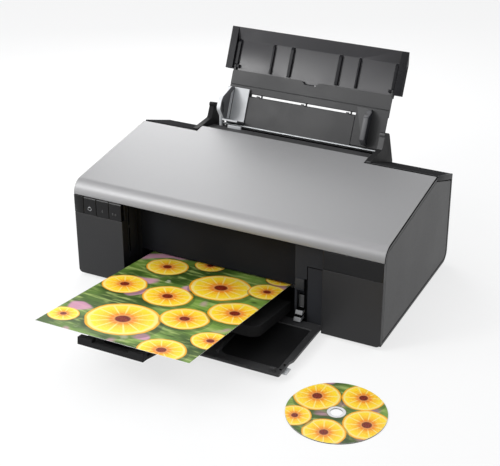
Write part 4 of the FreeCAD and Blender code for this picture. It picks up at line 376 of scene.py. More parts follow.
# %% [markdown]
# Each line below is one finish: its colour, its roughness and its grain. The dark mouldings are close in
# colour and differ more in gloss, as on the real printer. They have little specular, because a white room
# would otherwise turn black plastic grey at a grazing angle.

# %% Plastics, rubbers and metals of the printer
FINE, COARSE, SMOOTH = (2200.0, 0.00002), (1300.0, 0.00005), (500.0, 0.000004)

finish("charcoal_shell", (0.0175, 0.0175, 0.0185), 0.42, COARSE, 0.10, vary=0.03, specular=0.28)
finish("silver_lid", (0.235, 0.235, 0.239), 0.46, (2600.0, 0.00001), 0.08, 0.0012, 0.0,
       metallic=0.62, specular=0.4)
finish("black_moulding", (0.012, 0.012, 0.0125), 0.6, COARSE, 0.14, specular=0.1)
finish("gloss_black", (0.004, 0.004, 0.0045), 0.14, SMOOTH, 0.2, 0.0009, specular=0.22)
finish("dark_flap", (0.007, 0.007, 0.0075), 0.4, FINE, 0.25, specular=0.12)
# Black for joints, gaps and slits, and for painted shadow beside the slot, under the bar, in holes.
finish("gap_black", (0.002, 0.002, 0.002), 0.8, FINE, 0.0, specular=0.0)
finish("slot_grey", (0.029, 0.0295, 0.031), 0.5, FINE, 0.1, specular=0.2)
finish("sign_white", (0.42, 0.43, 0.44), 0.4, FINE, 0.0, specular=0.3)
finish("sign_grey", (0.045, 0.045, 0.047), 0.4, FINE, 0.0, specular=0.2)
# Painted highlight on lit faces and the lever's shaded stem; on the right guide, its own grey.
finish("arm_edge", (0.075, 0.075, 0.076), 0.45, COARSE, 0.2, specular=0.25)
# Painted shade in the left guide's hollow, and a painted highlight on the right guide's lip.
finish("guide_shade", (0.10, 0.10, 0.105), 0.35, FINE, 0.1, specular=0.3)
# Painted highlight: a whiter copy of the left guide's plastic for its rim.
finish("guide_rim", (0.72, 0.73, 0.74), 0.3, FINE, 0.2, specular=0.4)
# Painted light and shade: the front cover's rim and walls are lighter than the floor of its tray.
finish("flap_rim", (0.027, 0.027, 0.028), 0.42, FINE, 0.25, specular=0.25)
finish("dark_deck", (0.030, 0.030, 0.031), 0.7, COARSE, 0.12, specular=0.0)
finish("inner_moulding", (0.0235, 0.0245, 0.028), 0.55, COARSE, 0.14, specular=0.1)
finish("dark_guide", (0.0105, 0.0115, 0.0145), 0.5, FINE, 0.12, specular=0.07)
finish("pale_lever", (0.23, 0.233, 0.238), 0.35, FINE, 0.1, specular=0.4)
finish("grey_support", (0.036, 0.036, 0.037), 0.45, COARSE, 0.25, specular=0.3)
finish("smoked_cover", (0.012, 0.0115, 0.015), 0.34, SMOOTH, 0.25, 0.0009, specular=0.5, alpha=0.97)
finish("smoked_edge", (0.007, 0.007, 0.009), 0.3, SMOOTH, 0.2, 0.0009, specular=0.08)
finish("pale_guides", (0.50, 0.51, 0.52), 0.3, (900.0, 0.00001), 0.2, specular=0.4)
finish("steel_parts", (0.72, 0.72, 0.73), 0.2, (700.0, 0.000006), 0.1, metallic=1.0)
finish("chassis_steel", (0.30, 0.31, 0.32), 0.4, (900.0, 0.00001), 0.1, metallic=1.0)
finish("motor_steel", (0.30, 0.31, 0.32), 0.4, (900.0, 0.00001), 0.1, metallic=1.0)
finish("screw_steel", (0.2, 0.2, 0.21), 0.4, (900.0, 0.00001), 0.2, metallic=1.0)
finish("roller_rubber", (0.02, 0.02, 0.021), 0.75, (1800.0, 0.00006), 0.05, specular=0.2)
finish("foot_rubber", (0.015, 0.015, 0.015), 0.8, (1500.0, 0.00008), 0.05, specular=0.2)
finish("gear_plastic", (0.66, 0.65, 0.60), 0.45)
finish("brass_pinion", (0.7, 0.5, 0.22), 0.3, (700.0, 0.000006), 0.1, metallic=1.0)
finish("cartridge_shell", (0.02, 0.02, 0.022), 0.25, (900.0, 0.00001), 0.1)
finish("encoder_film", (0.5, 0.5, 0.5), 0.15, (400.0, 0.000002), 0.05, alpha=0.7)
finish("felt_pad", (0.65, 0.65, 0.62), 0.95, (700.0, 0.0003), 0.0, specular=0.1)
finish("board_green", (0.015, 0.11, 0.045), 0.35, (500.0, 0.00003), 0.1)
finish("printed_paper", (0.84, 0.84, 0.82), 0.45, (900.0, 0.000004), 0.05, 0.0002, specular=0.12)
finish("printed_disc", (0.66, 0.66, 0.66), 0.35, (900.0, 0.000004), 0.05, 0.0002)
print(len(finishes), "finishes")

# %% [markdown]
# The frame's record says which material slot each node has, and a finish of that name goes onto it. So no
# node needs a line of its own here.

# %% Give every frame node its finish
slot_of_node = {item["node"]: item["material_slot"] for item in frame["record"]["subparts"]}
for name, node in nodes.items():
    node.data.materials.clear()
    node.data.materials.append(finishes[slot_of_node[name]])
print(len(set(slot_of_node.values())), "slots on", len(nodes), "nodes")

# %% [markdown]
# ## The print on the sheet and the disc
# A printer is shown with something bright in its tray. Ours is a cheerful pattern of sliced fruit on
# leaves out of focus. A slice is a round patch in polar coordinates: a rim, wedges with pale skins
# between them and a dark heart. One node group draws one slice at any place and size, so the sheet and
# the disc each lay out their own. Everything is worked out from the piece's own coordinates, and only
# faces that look up are printed, so the paper's cut edge stays white.

# %% One fruit slice
FLESH_DARK, FLESH_LIGHT, FIBRE = (0.92, 0.38, 0.01, 1), (0.98, 0.70, 0.02, 1), (1.0, 0.84, 0.18, 1)
PITH, PEEL, GLOW = (0.93, 0.74, 0.22, 1), (0.93, 0.40, 0.01, 1), (0.75, 0.12, 0.01, 1)
HEART_DARK, HEART_RED = (0.10, 0.008, 0.004, 1), (0.30, 0.03, 0.008, 1)

slice_group, g, given, result = new_group(
    "fruit_slice",
    (("Vector", "Vector", None), ("Centre", "Vector", (0, 0, 0)), ("Radius", "Float", 0.03),
     ("Turn", "Float", 0.0), ("Wedges", "Float", 10.0)),
    (("Colour", "Color"), ("Mask", "Float")),
)
offset = g.vector("SUBTRACT", given["Vector"], given["Centre"])
axes = g.put("SeparateXYZ", {0: offset}).outputs
flat = g.put("CombineXYZ", {0: axes[0], 1: axes[1]}).outputs[0]
wobble = g.noise(given["Vector"], 45.0, 2.0)
distance = g.math("DIVIDE", g.vector("LENGTH", flat), given["Radius"])
distance = g.math("MULTIPLY", distance, g.math("ADD", 0.94, g.math("MULTIPLY", wobble, 0.12)))
angle = g.math("ADD", g.math("ARCTAN2", axes[1], axes[0]), given["Turn"])
half_turns = g.math("MULTIPLY", g.math("MULTIPLY", angle, given["Wedges"]), 0.5)
swing = g.math("ABSOLUTE", g.math("SINE", half_turns))
skin_width = g.math("DIVIDE", 0.10, g.math("ADD", distance, 0.15))
in_wedge = g.spread(g.math("SUBTRACT", swing, skin_width), 0.0, 0.22)
in_ring = g.math("MULTIPLY", g.spread(distance, 0.22, 0.30), g.spread(distance, 0.86, 0.80))
flesh = g.blend(g.spread(distance, 0.25, 0.85), FLESH_DARK, FLESH_LIGHT)
fibres = g.noise(given["Vector"], 420.0, 3.0, 0.6)
flesh = g.blend(g.math("MULTIPLY", g.spread(fibres, 0.45, 0.75), 0.45), flesh, FIBRE)
body = g.blend(g.math("MULTIPLY", in_wedge, in_ring), PITH, flesh)
body = g.blend(g.spread(distance, 0.90, 0.94), body, PEEL)
heart = g.spread(distance, 0.25, 0.18)
seeds = g.spread(g.noise(given["Vector"], 700.0, 2.0), 0.4, 0.65)
body = g.blend(heart, body, g.blend(seeds, HEART_DARK, HEART_RED))
glow = g.math("MULTIPLY", g.spread(distance, 0.46, 0.22), 0.75)
body = g.blend(g.math("MULTIPLY", glow, g.math("SUBTRACT", 1.0, heart)), body, GLOW)
g.tree.links.new(body, result["Colour"])
g.tree.links.new(g.spread(distance, 1.0, 0.96), result["Mask"])
print(slice_group.name, len(slice_group.nodes), "nodes")

# %% [markdown]
# The ground behind the slices is layers of noise: slow light and dark, long blades, and a few soft petals
# and pale specks. It is out of focus, so nothing in it needs an outline.

# %% Leaves out of focus
LEAF_DARK, LEAF_LIGHT = (0.035, 0.075, 0.012, 1), (0.17, 0.30, 0.05, 1)
BLADE_LIGHT, BLADE_DARK = (0.36, 0.46, 0.14, 1), (0.02, 0.045, 0.008, 1)
PETAL, PALE_SPECK = (0.66, 0.30, 0.46, 1), (0.75, 0.72, 0.55, 1)

foliage_group, g, given, result = new_group(
    "foliage", (("Vector", "Vector", None),), (("Colour", "Color"),)
)
slow = g.noise(given["Vector"], 14.0, 2.0, 0.5)
quick = g.noise(given["Vector"], 38.0, 3.0, 0.55)
drawn_out = {"Vector": given["Vector"], "Rotation": (0, 0, 0.7), "Scale": (30.0, 120.0, 1.0)}
stretched = g.put("Mapping", drawn_out).outputs[0]
blades = g.noise(stretched, 1.0, 2.0, 0.6)
ground = g.blend(g.spread(slow, 0.35, 0.65), LEAF_DARK, LEAF_LIGHT)
ground = g.blend(g.math("MULTIPLY", g.spread(blades, 0.48, 0.68), 0.75), ground, BLADE_LIGHT)
ground = g.blend(g.math("MULTIPLY", g.spread(blades, 0.42, 0.3), 0.7), ground, BLADE_DARK)
petals = g.noise(g.vector("ADD", given["Vector"], (3.1, 1.7, 0)), 24.0, 1.0, 0.4)
ground = g.blend(g.math("MULTIPLY", g.spread(petals, 0.60, 0.68), 0.8), ground, PETAL)
ground = g.blend(g.math("MULTIPLY", g.spread(quick, 0.66, 0.76), 0.5), ground, PALE_SPECK)
g.tree.links.new(ground, result["Colour"])
print(foliage_group.name, len(foliage_group.nodes), "nodes")

# %% [markdown]
# The slices are laid one over the other, each on a soft shadow of itself. The helper hands back the
# picture with the plain finish and a mask of the faces that look up, and each piece joins them its own way.

# %% Lay slices over the leaves
SHADOW_GROWS, SHADOW_STRENGTH = 1.08, 0.45
SHADOW_SHIFT = (0.1, -0.14)  # in shares of the slice's radius
SHADOW_COLOUR = (0.02, 0.04, 0.008, 1)


def printed(name, layout):
    """Puts the slices of a layout over the foliage in the node tree of a finish."""
    made = finishes[name]
    tree = made.node_tree
    g = Graph(tree)
    shader = next(n for n in tree.nodes if n.type == "BSDF_PRINCIPLED")
    place = g.put("TexCoord")
    where = place.outputs["Object"]
    picture = g.put("Group", {}, node_tree=foliage_group)
    tree.links.new(where, picture.inputs["Vector"])
    picture = picture.outputs["Colour"]
    for x, y, radius, turn, wedges in layout:
        fruit = g.put("Group", {}, node_tree=slice_group)
        tree.links.new(where, fruit.inputs["Vector"])
        fruit.inputs["Centre"].default_value = (x / 1000, y / 1000, 0)
        fruit.inputs["Radius"].default_value = radius / 1000
        fruit.inputs["Turn"].default_value = turn
        fruit.inputs["Wedges"].default_value = wedges
        shade = g.put("Group", {}, node_tree=slice_group)
        tree.links.new(where, shade.inputs["Vector"])
        shade_x, shade_y = x + radius * SHADOW_SHIFT[0], y + radius * SHADOW_SHIFT[1]
        shade.inputs["Centre"].default_value = (shade_x / 1000, shade_y / 1000, 0)
        shade.inputs["Radius"].default_value = radius * SHADOW_GROWS / 1000
        shadow = g.math("MULTIPLY", shade.outputs["Mask"], SHADOW_STRENGTH)
        picture = g.blend(shadow, picture, SHADOW_COLOUR)
        picture = g.blend(fruit.outputs["Mask"], picture, fruit.outputs["Colour"])
    looks_up = g.put("SeparateXYZ", {0: place.outputs["Normal"]}).outputs[2]
    on_top = g.spread(looks_up, 0.5, 0.6)
    plain = shader.inputs["Base Color"].links[0].from_socket
    return g, shader, where, on_top, plain, picture


SHEET_LAYOUT = (
    # x, y and radius in mm, turn in radians, number of wedges
    (-112, -330, 20, 0.3, 9), (38, -352, 30, 0.2, 11), (74, -300, 24, 0.8, 10), (-100, -210, 30, 1.9, 11),
    (-44, -304, 47, 0.5, 13), (18, -262, 31, 0.9, 10), (62, -214, 34, 0.1, 11), (-34, -214, 33, 1.4, 12),
    (10, -152, 42, 0.2, 12), (-84, -128, 29, 0.6, 10), (66, -130, 25, 1.2, 10), (-38, -92, 21, 0.1, 9),
    (64, -84, 20, 0.5, 9),
)
g, shader, where, on_top, plain, picture = printed("printed_paper", SHEET_LAYOUT)
g.tree.links.new(g.blend(on_top, plain, picture), shader.inputs["Base Color"])
print(len(SHEET_LAYOUT), "slices on the sheet")

# %% [markdown]
# A printable disc has a clear hub and a thin clear rim. Both could be rings cut into the mesh, but ink has
# no thickness. So the distance from the middle tells where the ink starts and ends, and a thin dark ring
# marks the moulded step of the hub. The distances are metres.

# %% The disc keeps a plain hub
disc_low, disc_high = (Vector(corner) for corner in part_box("disc"))
disc_centre = (disc_low + disc_high) / 2
PRINT_FROM, PRINT_TO, PRINT_SOFT = 0.0118, 0.0598, 0.0003
RING_FROM, RING_TO, RING_SOFT = 0.0110, 0.0124, 0.0002
RING_COLOUR, EDGE_COLOUR = (0.16, 0.15, 0.12, 1), (0.12, 0.12, 0.10, 1)
DISC_SLICES = (
    # x and y from the middle and radius in mm, turn in radians, number of wedges
    (-33, 20, 29, 0.2, 11), (18, 40, 26, 0.9, 10), (41, -8, 29, 0.5, 11), (2, -42, 26, 1.2, 10),
    (-41, -27, 20, 0.7, 9),
)
disc_layout = [(disc_centre.x * 1000 + x, disc_centre.y * 1000 + y, *rest) for x, y, *rest in DISC_SLICES]
g, shader, where, on_top, plain, picture = printed("printed_disc", disc_layout)
from_middle = g.vector("MULTIPLY", g.vector("SUBTRACT", where, tuple(disc_centre)), (1, 1, 0))
from_hub = g.vector("LENGTH", from_middle)


def band(start, end, soft):
    """A mask that is 1 between two distances from the middle, with soft edges."""
    inside = g.spread(from_hub, start - soft, start + soft)
    return g.math("MULTIPLY", inside, g.spread(from_hub, end + soft, end - soft))


in_print = band(PRINT_FROM, PRINT_TO, PRINT_SOFT)
plain = g.blend(band(RING_FROM, RING_TO, RING_SOFT), plain, RING_COLOUR)
plain = g.blend(on_top, EDGE_COLOUR, plain)
inked = g.math("MULTIPLY", on_top, in_print)
g.tree.links.new(g.blend(inked, plain, picture), shader.inputs["Base Color"])
print("disc centre", [round(v, 4) for v in disc_centre])

# %% [markdown]
# ## Mouldings with soft edges
# A tool never leaves a knife edge on a moulding: each outer corner is rounded by a few tenths of a
# millimetre, and that thin line is what catches the light. The frame's solids are sharp, so each visible
# one is copied, its triangles are merged back into flat faces, and its edges are bevelled. Weighted
# normals then keep the flat faces flat up to the bevel. The copy stands for the solid.

# %% A softened copy of a frame node


def select_only(piece):
    bpy.ops.object.select_all(action="DESELECT")
    piece.select_set(True)
    bpy.context.view_layer.objects.active = piece


def apply_modifiers(piece):
    select_only(piece)
    for modifier in list(piece.modifiers):
        bpy.ops.object.modifier_apply(modifier=modifier.name)


MERGE_M, FLAT_DEG = 0.00001, 0.4  # points this near are one, and faces this flat are joined
SOFT_SEGMENTS, SOFT_LIMIT_DEG = 2, 32
SMOOTH_DEG = 50


def softened(name, width):
    """Copies a node, merges it, rounds its edges and lets the copy stand for it."""
    piece = bpy.data.objects.new(name + "_skin", nodes[name].data.copy())
    bpy.context.scene.collection.objects.link(piece)
    select_only(piece)
    bpy.ops.object.mode_set(mode="EDIT")
    bpy.ops.mesh.select_all(action="SELECT")
    bpy.ops.mesh.remove_doubles(threshold=MERGE_M)
    bpy.ops.mesh.dissolve_limited(angle_limit=math.radians(FLAT_DEG))
    bpy.ops.object.mode_set(mode="OBJECT")
    bevel = piece.modifiers.new("round", "BEVEL")
    bevel.width = width
    bevel.segments = SOFT_SEGMENTS
    bevel.limit_method = "ANGLE"
    bevel.angle_limit = math.radians(SOFT_LIMIT_DEG)
    bevel.use_clamp_overlap = False
    apply_modifiers(piece)
    bpy.ops.object.shade_smooth_by_angle(angle=math.radians(SMOOTH_DEG))
    normals = piece.modifiers.new("flat_faces", "WEIGHTED_NORMAL")
    normals.keep_sharp = True
    apply_modifiers(piece)
    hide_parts(name)
    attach(piece, body_of_node[name])
    return piece


# %% [markdown]
# The width of the rounding follows the piece: wide on the shell, and under half of the thinnest strip on
# the frame of the opening, because a wider one would swell that strip.

# %% Soften the outer mouldings
SOFT_WIDTHS_MM = {
    "lid": 0.5, "right_side_panel": 0.3, "left_side_panel": 0.3, "left_front_panel": 0.6,
    "right_front_panel": 0.6, "right_trim_strip": 0.5, "button_bezel": 0.4, "power_button": 0.4,
    "ink_button": 0.4, "paper_button": 0.4, "rear_cover": 0.6, "rear_deck": 1.1, "feeder_housing": 0.4,
    "paper_support": 0.35, "dust_cover": 0.35, "hopper": 0.4, "left_edge_guide": 0.4,
    "right_edge_guide": 0.4, "front_cover": 0.5, "exit_frame": 0.15, "disc_guide": 0.5,
    "position_lever": 0.4, "stacker": 0.5, "stacker_extension": 0.5, "base_pan": 0.5,
}
skins = {}
for name, width in SOFT_WIDTHS_MM.items():
    skins[name] = softened(name, width / 1000)
    print(name, len(skins[name].data.polygons), "faces")

# %% [markdown]
# Some mouldings are one piece in two tones, and on many of them the second tone is painted shade or a
# painted highlight. Splitting the mesh would break its rounded edges, so the piece gets a second finish on
# the faces that a test picks by their place and by where they look.

# %% A second finish


def second_finish(piece, finish_name, test):
    """Gives the faces that pass the test another finish."""
    piece.data.materials.append(finishes[finish_name])
    number = len(piece.data.materials) - 1
    changed = 0
    for face in piece.data.polygons:
        if test(face.center, face.normal):
            face.material_index = number
            changed += 1
    print(piece.name, changed, "faces in", finish_name)


# %% [markdown]
# The dust cover is smoked plastic: its thin panel lets the light behind it through, while the ribs, the
# wings and the folded lip are thick and look darker. They are told apart in the leaning frame of the
# paper support, as distances behind its front and up along it.

# %% Ribs and wings of the dust cover
LEAN = math.radians(24.5)
LEAN_Y, LEAN_Z = 0.165, 0.219  # top front edge of the paper support
PANEL_BACK_MM, WINGS_TOP_MM = 5.8, 45.5


def in_lean(point):
    """Distance behind the paper support's front, and up along it, in millimetres."""
    y, z = point.y - LEAN_Y, point.z - LEAN_Z
    back = y * math.cos(LEAN) - z * math.sin(LEAN)
    up = y * math.sin(LEAN) + z * math.cos(LEAN)
    return back * 1000, up * 1000


def on_rib_or_wing(centre, normal):
    back, up = in_lean(centre)
    return back < PANEL_BACK_MM and up < WINGS_TOP_MM


second_finish(skins["dust_cover"], "smoked_edge", on_rib_or_wing)

# %% [markdown]
# On the rest, simple tests are enough. The left guide's hollow gets painted shade and its rim a painted
# highlight. The right guide is grey with a paler rim and painted shade on its inside. Only the lever's two
# finger steps are pale: its stem above them gets a lighter grey as painted light, and its flat faces black
# as painted shade. The feeder's right arm, the lip between its arms and the front cover's right wall get
# painted highlights, and the cover's rim and walls are painted lighter than the floor of its tray. The
# order
# matters: a later test paints over an earlier one. A normal's part along an axis tells where a face looks:
# 1 is straight that way, and 0 is square to it.

# %% Two-tone mouldings, painted shade and painted highlights
PANEL_LEFT_X = 0.101  # left edge of the panel with the slot
ARM_X = 0.118  # inner side of the feeder's arms
LEFT_RIM_X = -0.122  # the left guide's rim is left of this
RIGHT_RIM_X = (0.088, 0.0936)  # the right guide's rim is between these
STEPS_Z = 0.0235  # foot of the lever's finger steps
FEEDER_LIP_Z = 0.135  # foot of the feeder's lip
COVER_RIM_Z, COVER_SIDE_X = 0.0076, 0.136  # the front cover's raised rim, and its right end
LID_SIDE_Z = 0.118  # foot of the lid's right end


def on_right_rim(centre, normal):
    beside = RIGHT_RIM_X[0] < centre.x < RIGHT_RIM_X[1] and abs(normal.x) < 0.6
    return beside and (normal.y < -0.15 or normal.z > 0.3)


def on_feeder_lip(centre, normal):
    return abs(centre.x) < ARM_X and centre.z > FEEDER_LIP_Z and (normal.y < -0.5 or normal.z > 0.7)


TONES_AND_PAINTED_LIGHT = (
    # piece, second finish, test of a face's centre and normal
    ("rear_deck", "dark_deck", lambda centre, normal: normal.z > 0.5),
    ("exit_frame", "inner_moulding", lambda centre, normal: centre.x > PANEL_LEFT_X),
    # painted highlight: the front faces of the feeder's right arm
    ("feeder_housing", "arm_edge", lambda centre, normal: centre.x > ARM_X and normal.y < -0.3),
    # painted shade: the left guide's hollow, the faces that look to the right
    ("left_edge_guide", "guide_shade", lambda centre, normal: normal.x > 0.5),
    # painted highlight on the left guide's front rim
    ("left_edge_guide", "guide_rim", lambda centre, normal: centre.x < LEFT_RIM_X and normal.y < -0.2),
    # painted shade: the inside of the right guide's upright
    ("right_edge_guide", "inner_moulding", lambda centre, normal: normal.x > 0.5),
    ("right_edge_guide", "arm_edge", lambda centre, normal: normal.y < -0.5 and normal.z < 0.3),
    ("right_edge_guide", "arm_edge", on_right_rim),
    # painted light: the lever's stem above its steps lies in shade and is given a lighter grey
    ("position_lever", "arm_edge", lambda centre, normal: centre.z > STEPS_Z),
    # painted shade: the lever's flat faces are black
    ("position_lever", "gap_black", lambda centre, normal: abs(normal.z) > 0.8),
    # painted highlight: the front and top faces of the lip between the feeder's arms
    ("feeder_housing", "grey_support", on_feeder_lip),
    # painted light and shade: rim and walls lighter than the tray's floor
    ("front_cover", "flap_rim", lambda centre, normal: centre.z > COVER_RIM_Z or normal.z < 0.5),
    # painted highlight on the front cover's right side wall
    ("front_cover", "arm_edge", lambda centre, normal: normal.x > 0.5 and centre.x > COVER_SIDE_X),
    ("lid", "gap_black", lambda centre, normal: normal.x > 0.9 and centre.z > LID_SIDE_Z),
)
for name, finish_name, test in TONES_AND_PAINTED_LIGHT:
    second_finish(skins[name], finish_name, test)

# %% [markdown]
# ## Small parts
# The small parts that the shell carries are modelled next. Most of them start as a cube that is given its
# size and place and then has every edge rounded. One helper does that, at any slope, and hands the piece
# to the body that it sits on. The sizes in the tables are millimetres.

# %% Rounded blocks
BLOCK_SEGMENTS = 3


def seal(piece, name, host, finish_name):
    """Applies the modifiers and the transform, then hands the piece to the body of its host."""
    apply_modifiers(piece)
    select_only(piece)
    bpy.ops.object.transform_apply(location=True, rotation=True, scale=True)
    bpy.ops.object.shade_smooth_by_angle(angle=math.radians(SMOOTH_DEG))
    piece.name = name
    piece.data.name = name
    piece.data.materials.clear()
    piece.data.materials.append(finishes[finish_name])
    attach(piece, body_of_node[host])
    return piece


def rounded_cube(name, middle, size, slope, rim, host, finish_name):
    """A cube of a size in metres at a place, turned about x, with every edge rounded."""
    bpy.ops.mesh.primitive_cube_add(size=1, location=middle, rotation=(slope, 0, 0))
    piece = bpy.context.active_object
    piece.scale = size
    select_only(piece)
    bpy.ops.object.transform_apply(location=False, rotation=False, scale=True)
    rounding = piece.modifiers.new("rounding", "BEVEL")
    rounding.width = rim / 1000
    rounding.segments = BLOCK_SEGMENTS
    rounding.limit_method = "NONE"
    return seal(piece, name, host, finish_name)


def rounded_block(name, low, high, rim, host, finish_name):
    """An upright block between two corners, in millimetres."""
    middle = [(a + b) / 2000 for a, b in zip(low, high)]
    size = [(b - a) / 1000 for a, b in zip(low, high)]
    return rounded_cube(name, middle, size, 0, rim, host, finish_name)


# %% [markdown]
# The slot of the lever has a cap and a painted shadow beside it, the panel beside it a door with a fine
# joint, and the recess a plate with two slits. The left guide has its foot, leg and clamp, the front cover
# a pale tab and black blocks over its two holes as painted shade, and the paper support the catch of the
# dust cover. A black strip under the feeder bar is its painted shadow.
# None is more than a small block with soft edges, so one table holds them all.

# %% Trim, joints, catches and painted shadows
BLOCKS = (
    # name, low corner, high corner, rounding, host node, finish
    ("slot_cap", (102.6, -122.6, 52.5), (114.6, -120.9, 66), 0.5, "exit_frame", "slot_grey"),
    ("slot_cap_foot", (102.6, -122.2, 49.5), (114.6, -120.9, 53), 0.4, "exit_frame", "inner_moulding"),
    # painted shadow beside the lever's slot
    ("slot_shadow", (114.8, -121.5, 3.2), (117.6, -120.9, 67), 0.2, "exit_frame", "gap_black"),
    ("door_line_side", (118.0, -121.3, 3.2), (119.0, -120.9, 86), 0.12, "exit_frame", "gap_black"),
    ("door_line_top", (118.0, -121.3, 85.2), (143.2, -120.9, 86.2), 0.12, "exit_frame", "gap_black"),
    ("recess_plate", (-148.9, -120.6, 36), (-148.2, -100, 116), 0.3, "exit_frame", "inner_moulding"),
    ("recess_slit", (-148.3, -119.6, 84), (-148.0, -117.2, 112), 0.1, "exit_frame", "gap_black"),
    ("recess_slit_low", (-148.3, -119.6, 44), (-148.0, -117.2, 80), 0.1, "exit_frame", "gap_black"),
    ("guide_foot", (-111.5, 103, 143), (-90, 106, 156), 0.7, "left_edge_guide", "pale_guides"),
    ("guide_leg", (-127.8, 108, 149), (-123.5, 112, 170), 0.9, "left_edge_guide", "pale_guides"),
    ("guide_clamp", (-128.4, 107, 170), (-122.0, 113, 189), 1.2, "left_edge_guide", "dark_guide"),
    # painted shadow under the feeder bar
    ("bar_shadow", (-111, 121, 143.6), (118, 123.4, 146.2), 0.3, "feeder_housing", "gap_black"),
    # painted shade: black blocks over the front cover's two holes
    ("flap_hole_dark", (136.8, -231.4, 7.9), (139.4, -228.8, 8.15), 0.1, "front_cover", "gap_black"),
    ("flap_hole_dark_far", (136.8, -243, 7.9), (139.4, -240.4, 8.15), 0.1, "front_cover", "gap_black"),
    ("flap_tab", (139.5, -242, 1.7), (146, -228, 3.6), 0.7, "front_cover", "pale_guides"),
    ("cover_catch", (-17, 164.8, 209.8), (-1.5, 166.8, 214.2), 0.6, "paper_support", "smoked_edge"),
)
for name, low, high, rim, host, finish_name in BLOCKS:
    rounded_block(name, low, high, rim, host, finish_name)
print(len(BLOCKS), "blocks")

# %% [markdown]
# The top front edge of the button bezel is rolled. A wide bevel on the whole piece would round its thin
# sides as well, so the edges that run along the top front are picked by their place and get their own.

# %% Roll the top edge of the bezel
ROLL_MM, ROLL_SEGMENTS = 3.2, 6
NEAR_M, LONG_M = 0.0008, 0.004  # how near to the corner an edge lies, and how far it runs along x


def roll_top_edge(piece):
    """Rounds the edges that run along x at the top front of the piece."""
    points = [vertex.co for vertex in piece.data.vertices]
    front_face = min(point.y for point in points)
    top_face = max(point.z for point in points)
    select_only(piece)
    bpy.ops.object.mode_set(mode="EDIT")
    bpy.ops.mesh.select_all(action="DESELECT")
    bpy.ops.object.mode_set(mode="OBJECT")
    for edge in piece.data.edges:
        ends = [points[number] for number in edge.vertices]
        near = all(end.y < front_face + NEAR_M and end.z > top_face - NEAR_M for end in ends)
        edge.select = near and abs(ends[0].x - ends[1].x) > LONG_M
    chosen = [edge for edge in piece.data.edges if edge.select]
    for edge in chosen:
        for number in edge.vertices:
            piece.data.vertices[number].select = True
    bpy.ops.object.mode_set(mode="EDIT")
    bpy.ops.mesh.select_mode(type="EDGE")
    bpy.ops.mesh.bevel(
        offset=ROLL_MM / 1000, segments=ROLL_SEGMENTS, affect="EDGES", clamp_overlap=True
    )
    bpy.ops.object.mode_set(mode="OBJECT")
    print(piece.name, len(chosen), "edges rolled")


roll_top_edge(skins["button_bezel"])

# %% [markdown]
# The signs on the buttons are print. A picture would need a flat map of each button, so each sign is a
# thin piece of its own that stands just proud of the face. The power button has a ring with a bar. The
# ring is a torus, pressed flat towards the button.

# %% Sign on the power button
SIGN_FRONT_MM, SIGN_BACK_MM, SIGN_RIM_MM = -133.2, -132.9, 0.1
RING_AT, RING_FLAT = (-0.2005, -0.13305, 0.1035), 0.45


def resize_all(piece, factors, orient="GLOBAL"):
    """Resizes the whole mesh in edit mode, along the world's axes or the piece's own."""
    select_only(piece)
    bpy.ops.object.mode_set(mode="EDIT")
    bpy.ops.mesh.select_all(action="SELECT")
    bpy.ops.transform.resize(value=factors, orient_type=orient)
    bpy.ops.mesh.select_all(action="DESELECT")
    bpy.ops.object.mode_set(mode="OBJECT")


def flat_sign(name, left, right, low, high, host, finish_name):
    """A small raised bar on the face of a button, in millimetres."""
    rounded_block(
        name, (left, SIGN_FRONT_MM, low), (right, SIGN_BACK_MM, high), SIGN_RIM_MM, host, finish_name
    )


bpy.ops.mesh.primitive_torus_add(
    major_radius=0.0026, minor_radius=0.00032, major_segments=40, minor_segments=10,
    location=RING_AT, rotation=(math.radians(90), 0, 0),
)
ring = bpy.context.active_object
resize_all(ring, (1, 1, RING_FLAT), "LOCAL")
seal(ring, "power_ring", "power_button", "sign_white")
flat_sign("power_bar", -200.75, -200.25, 104.6, 106.9, "power_button", "sign_white")
print(ring.name, len(ring.data.polygons), "faces")

# %% [markdown]
# The ink button has a drop: a sphere pressed flat, whose top is drawn up while the points near it follow.
# The paper button has two small grey fields, for a sheet and for stop.

# %% Signs on the ink and paper buttons
DROP_AT, DROP_FLAT = (-0.18, -0.133, 0.1034), 0.16
DROP_TIP_FROM, DROP_TIP_UP, DROP_TIP_REACH = 0.0013, 0.0016, 0.0012

bpy.ops.mesh.primitive_uv_sphere_add(segments=20, ring_count=12, radius=0.0014, location=DROP_AT)
drop = bpy.context.active_object
resize_all(drop, (1, DROP_FLAT, 1))
for vertex in drop.data.vertices:
    vertex.select = vertex.co.z > DROP_TIP_FROM
bpy.ops.object.mode_set(mode="EDIT")
bpy.ops.transform.translate(
    value=(0, 0, DROP_TIP_UP), use_proportional_edit=True, proportional_size=DROP_TIP_REACH,
    proportional_edit_falloff="SHARP",
)
bpy.ops.object.mode_set(mode="OBJECT")
seal(drop, "ink_drop", "ink_button", "sign_grey")
flat_sign("sheet_sign", -164.6, -162.4, 101.6, 104.8, "paper_button", "sign_grey")
flat_sign("cancel_sign", -160.4, -157.8, 101.6, 104.2, "paper_button", "sign_grey")
print(drop.name, len(drop.data.polygons), "faces")

# %% [markdown]
# The thin bar across the foot of the hopper is plated like the chassis, so it takes that finish.

# %% Plate the feeder bar
nodes["feeder_bar"].data.materials[0] = finishes["chassis_steel"]
print("feeder_bar in", nodes["feeder_bar"].data.materials[0].name)

# %% [markdown]
# The rear deck is a thin solid, but the real deck has a skirt: its ends fold down over the side panels
# and stop at a fine joint. Each end is one bar that lies along the slope, with a dark strip for the joint.
# It starts behind the lid's hinge, so that the lid can swing.

# %% Ends of the rear deck
DECK_SLOPE_DEG = -19.9
DECK_TOP_FRONT = (59.6, 160.1)  # y and z in mm


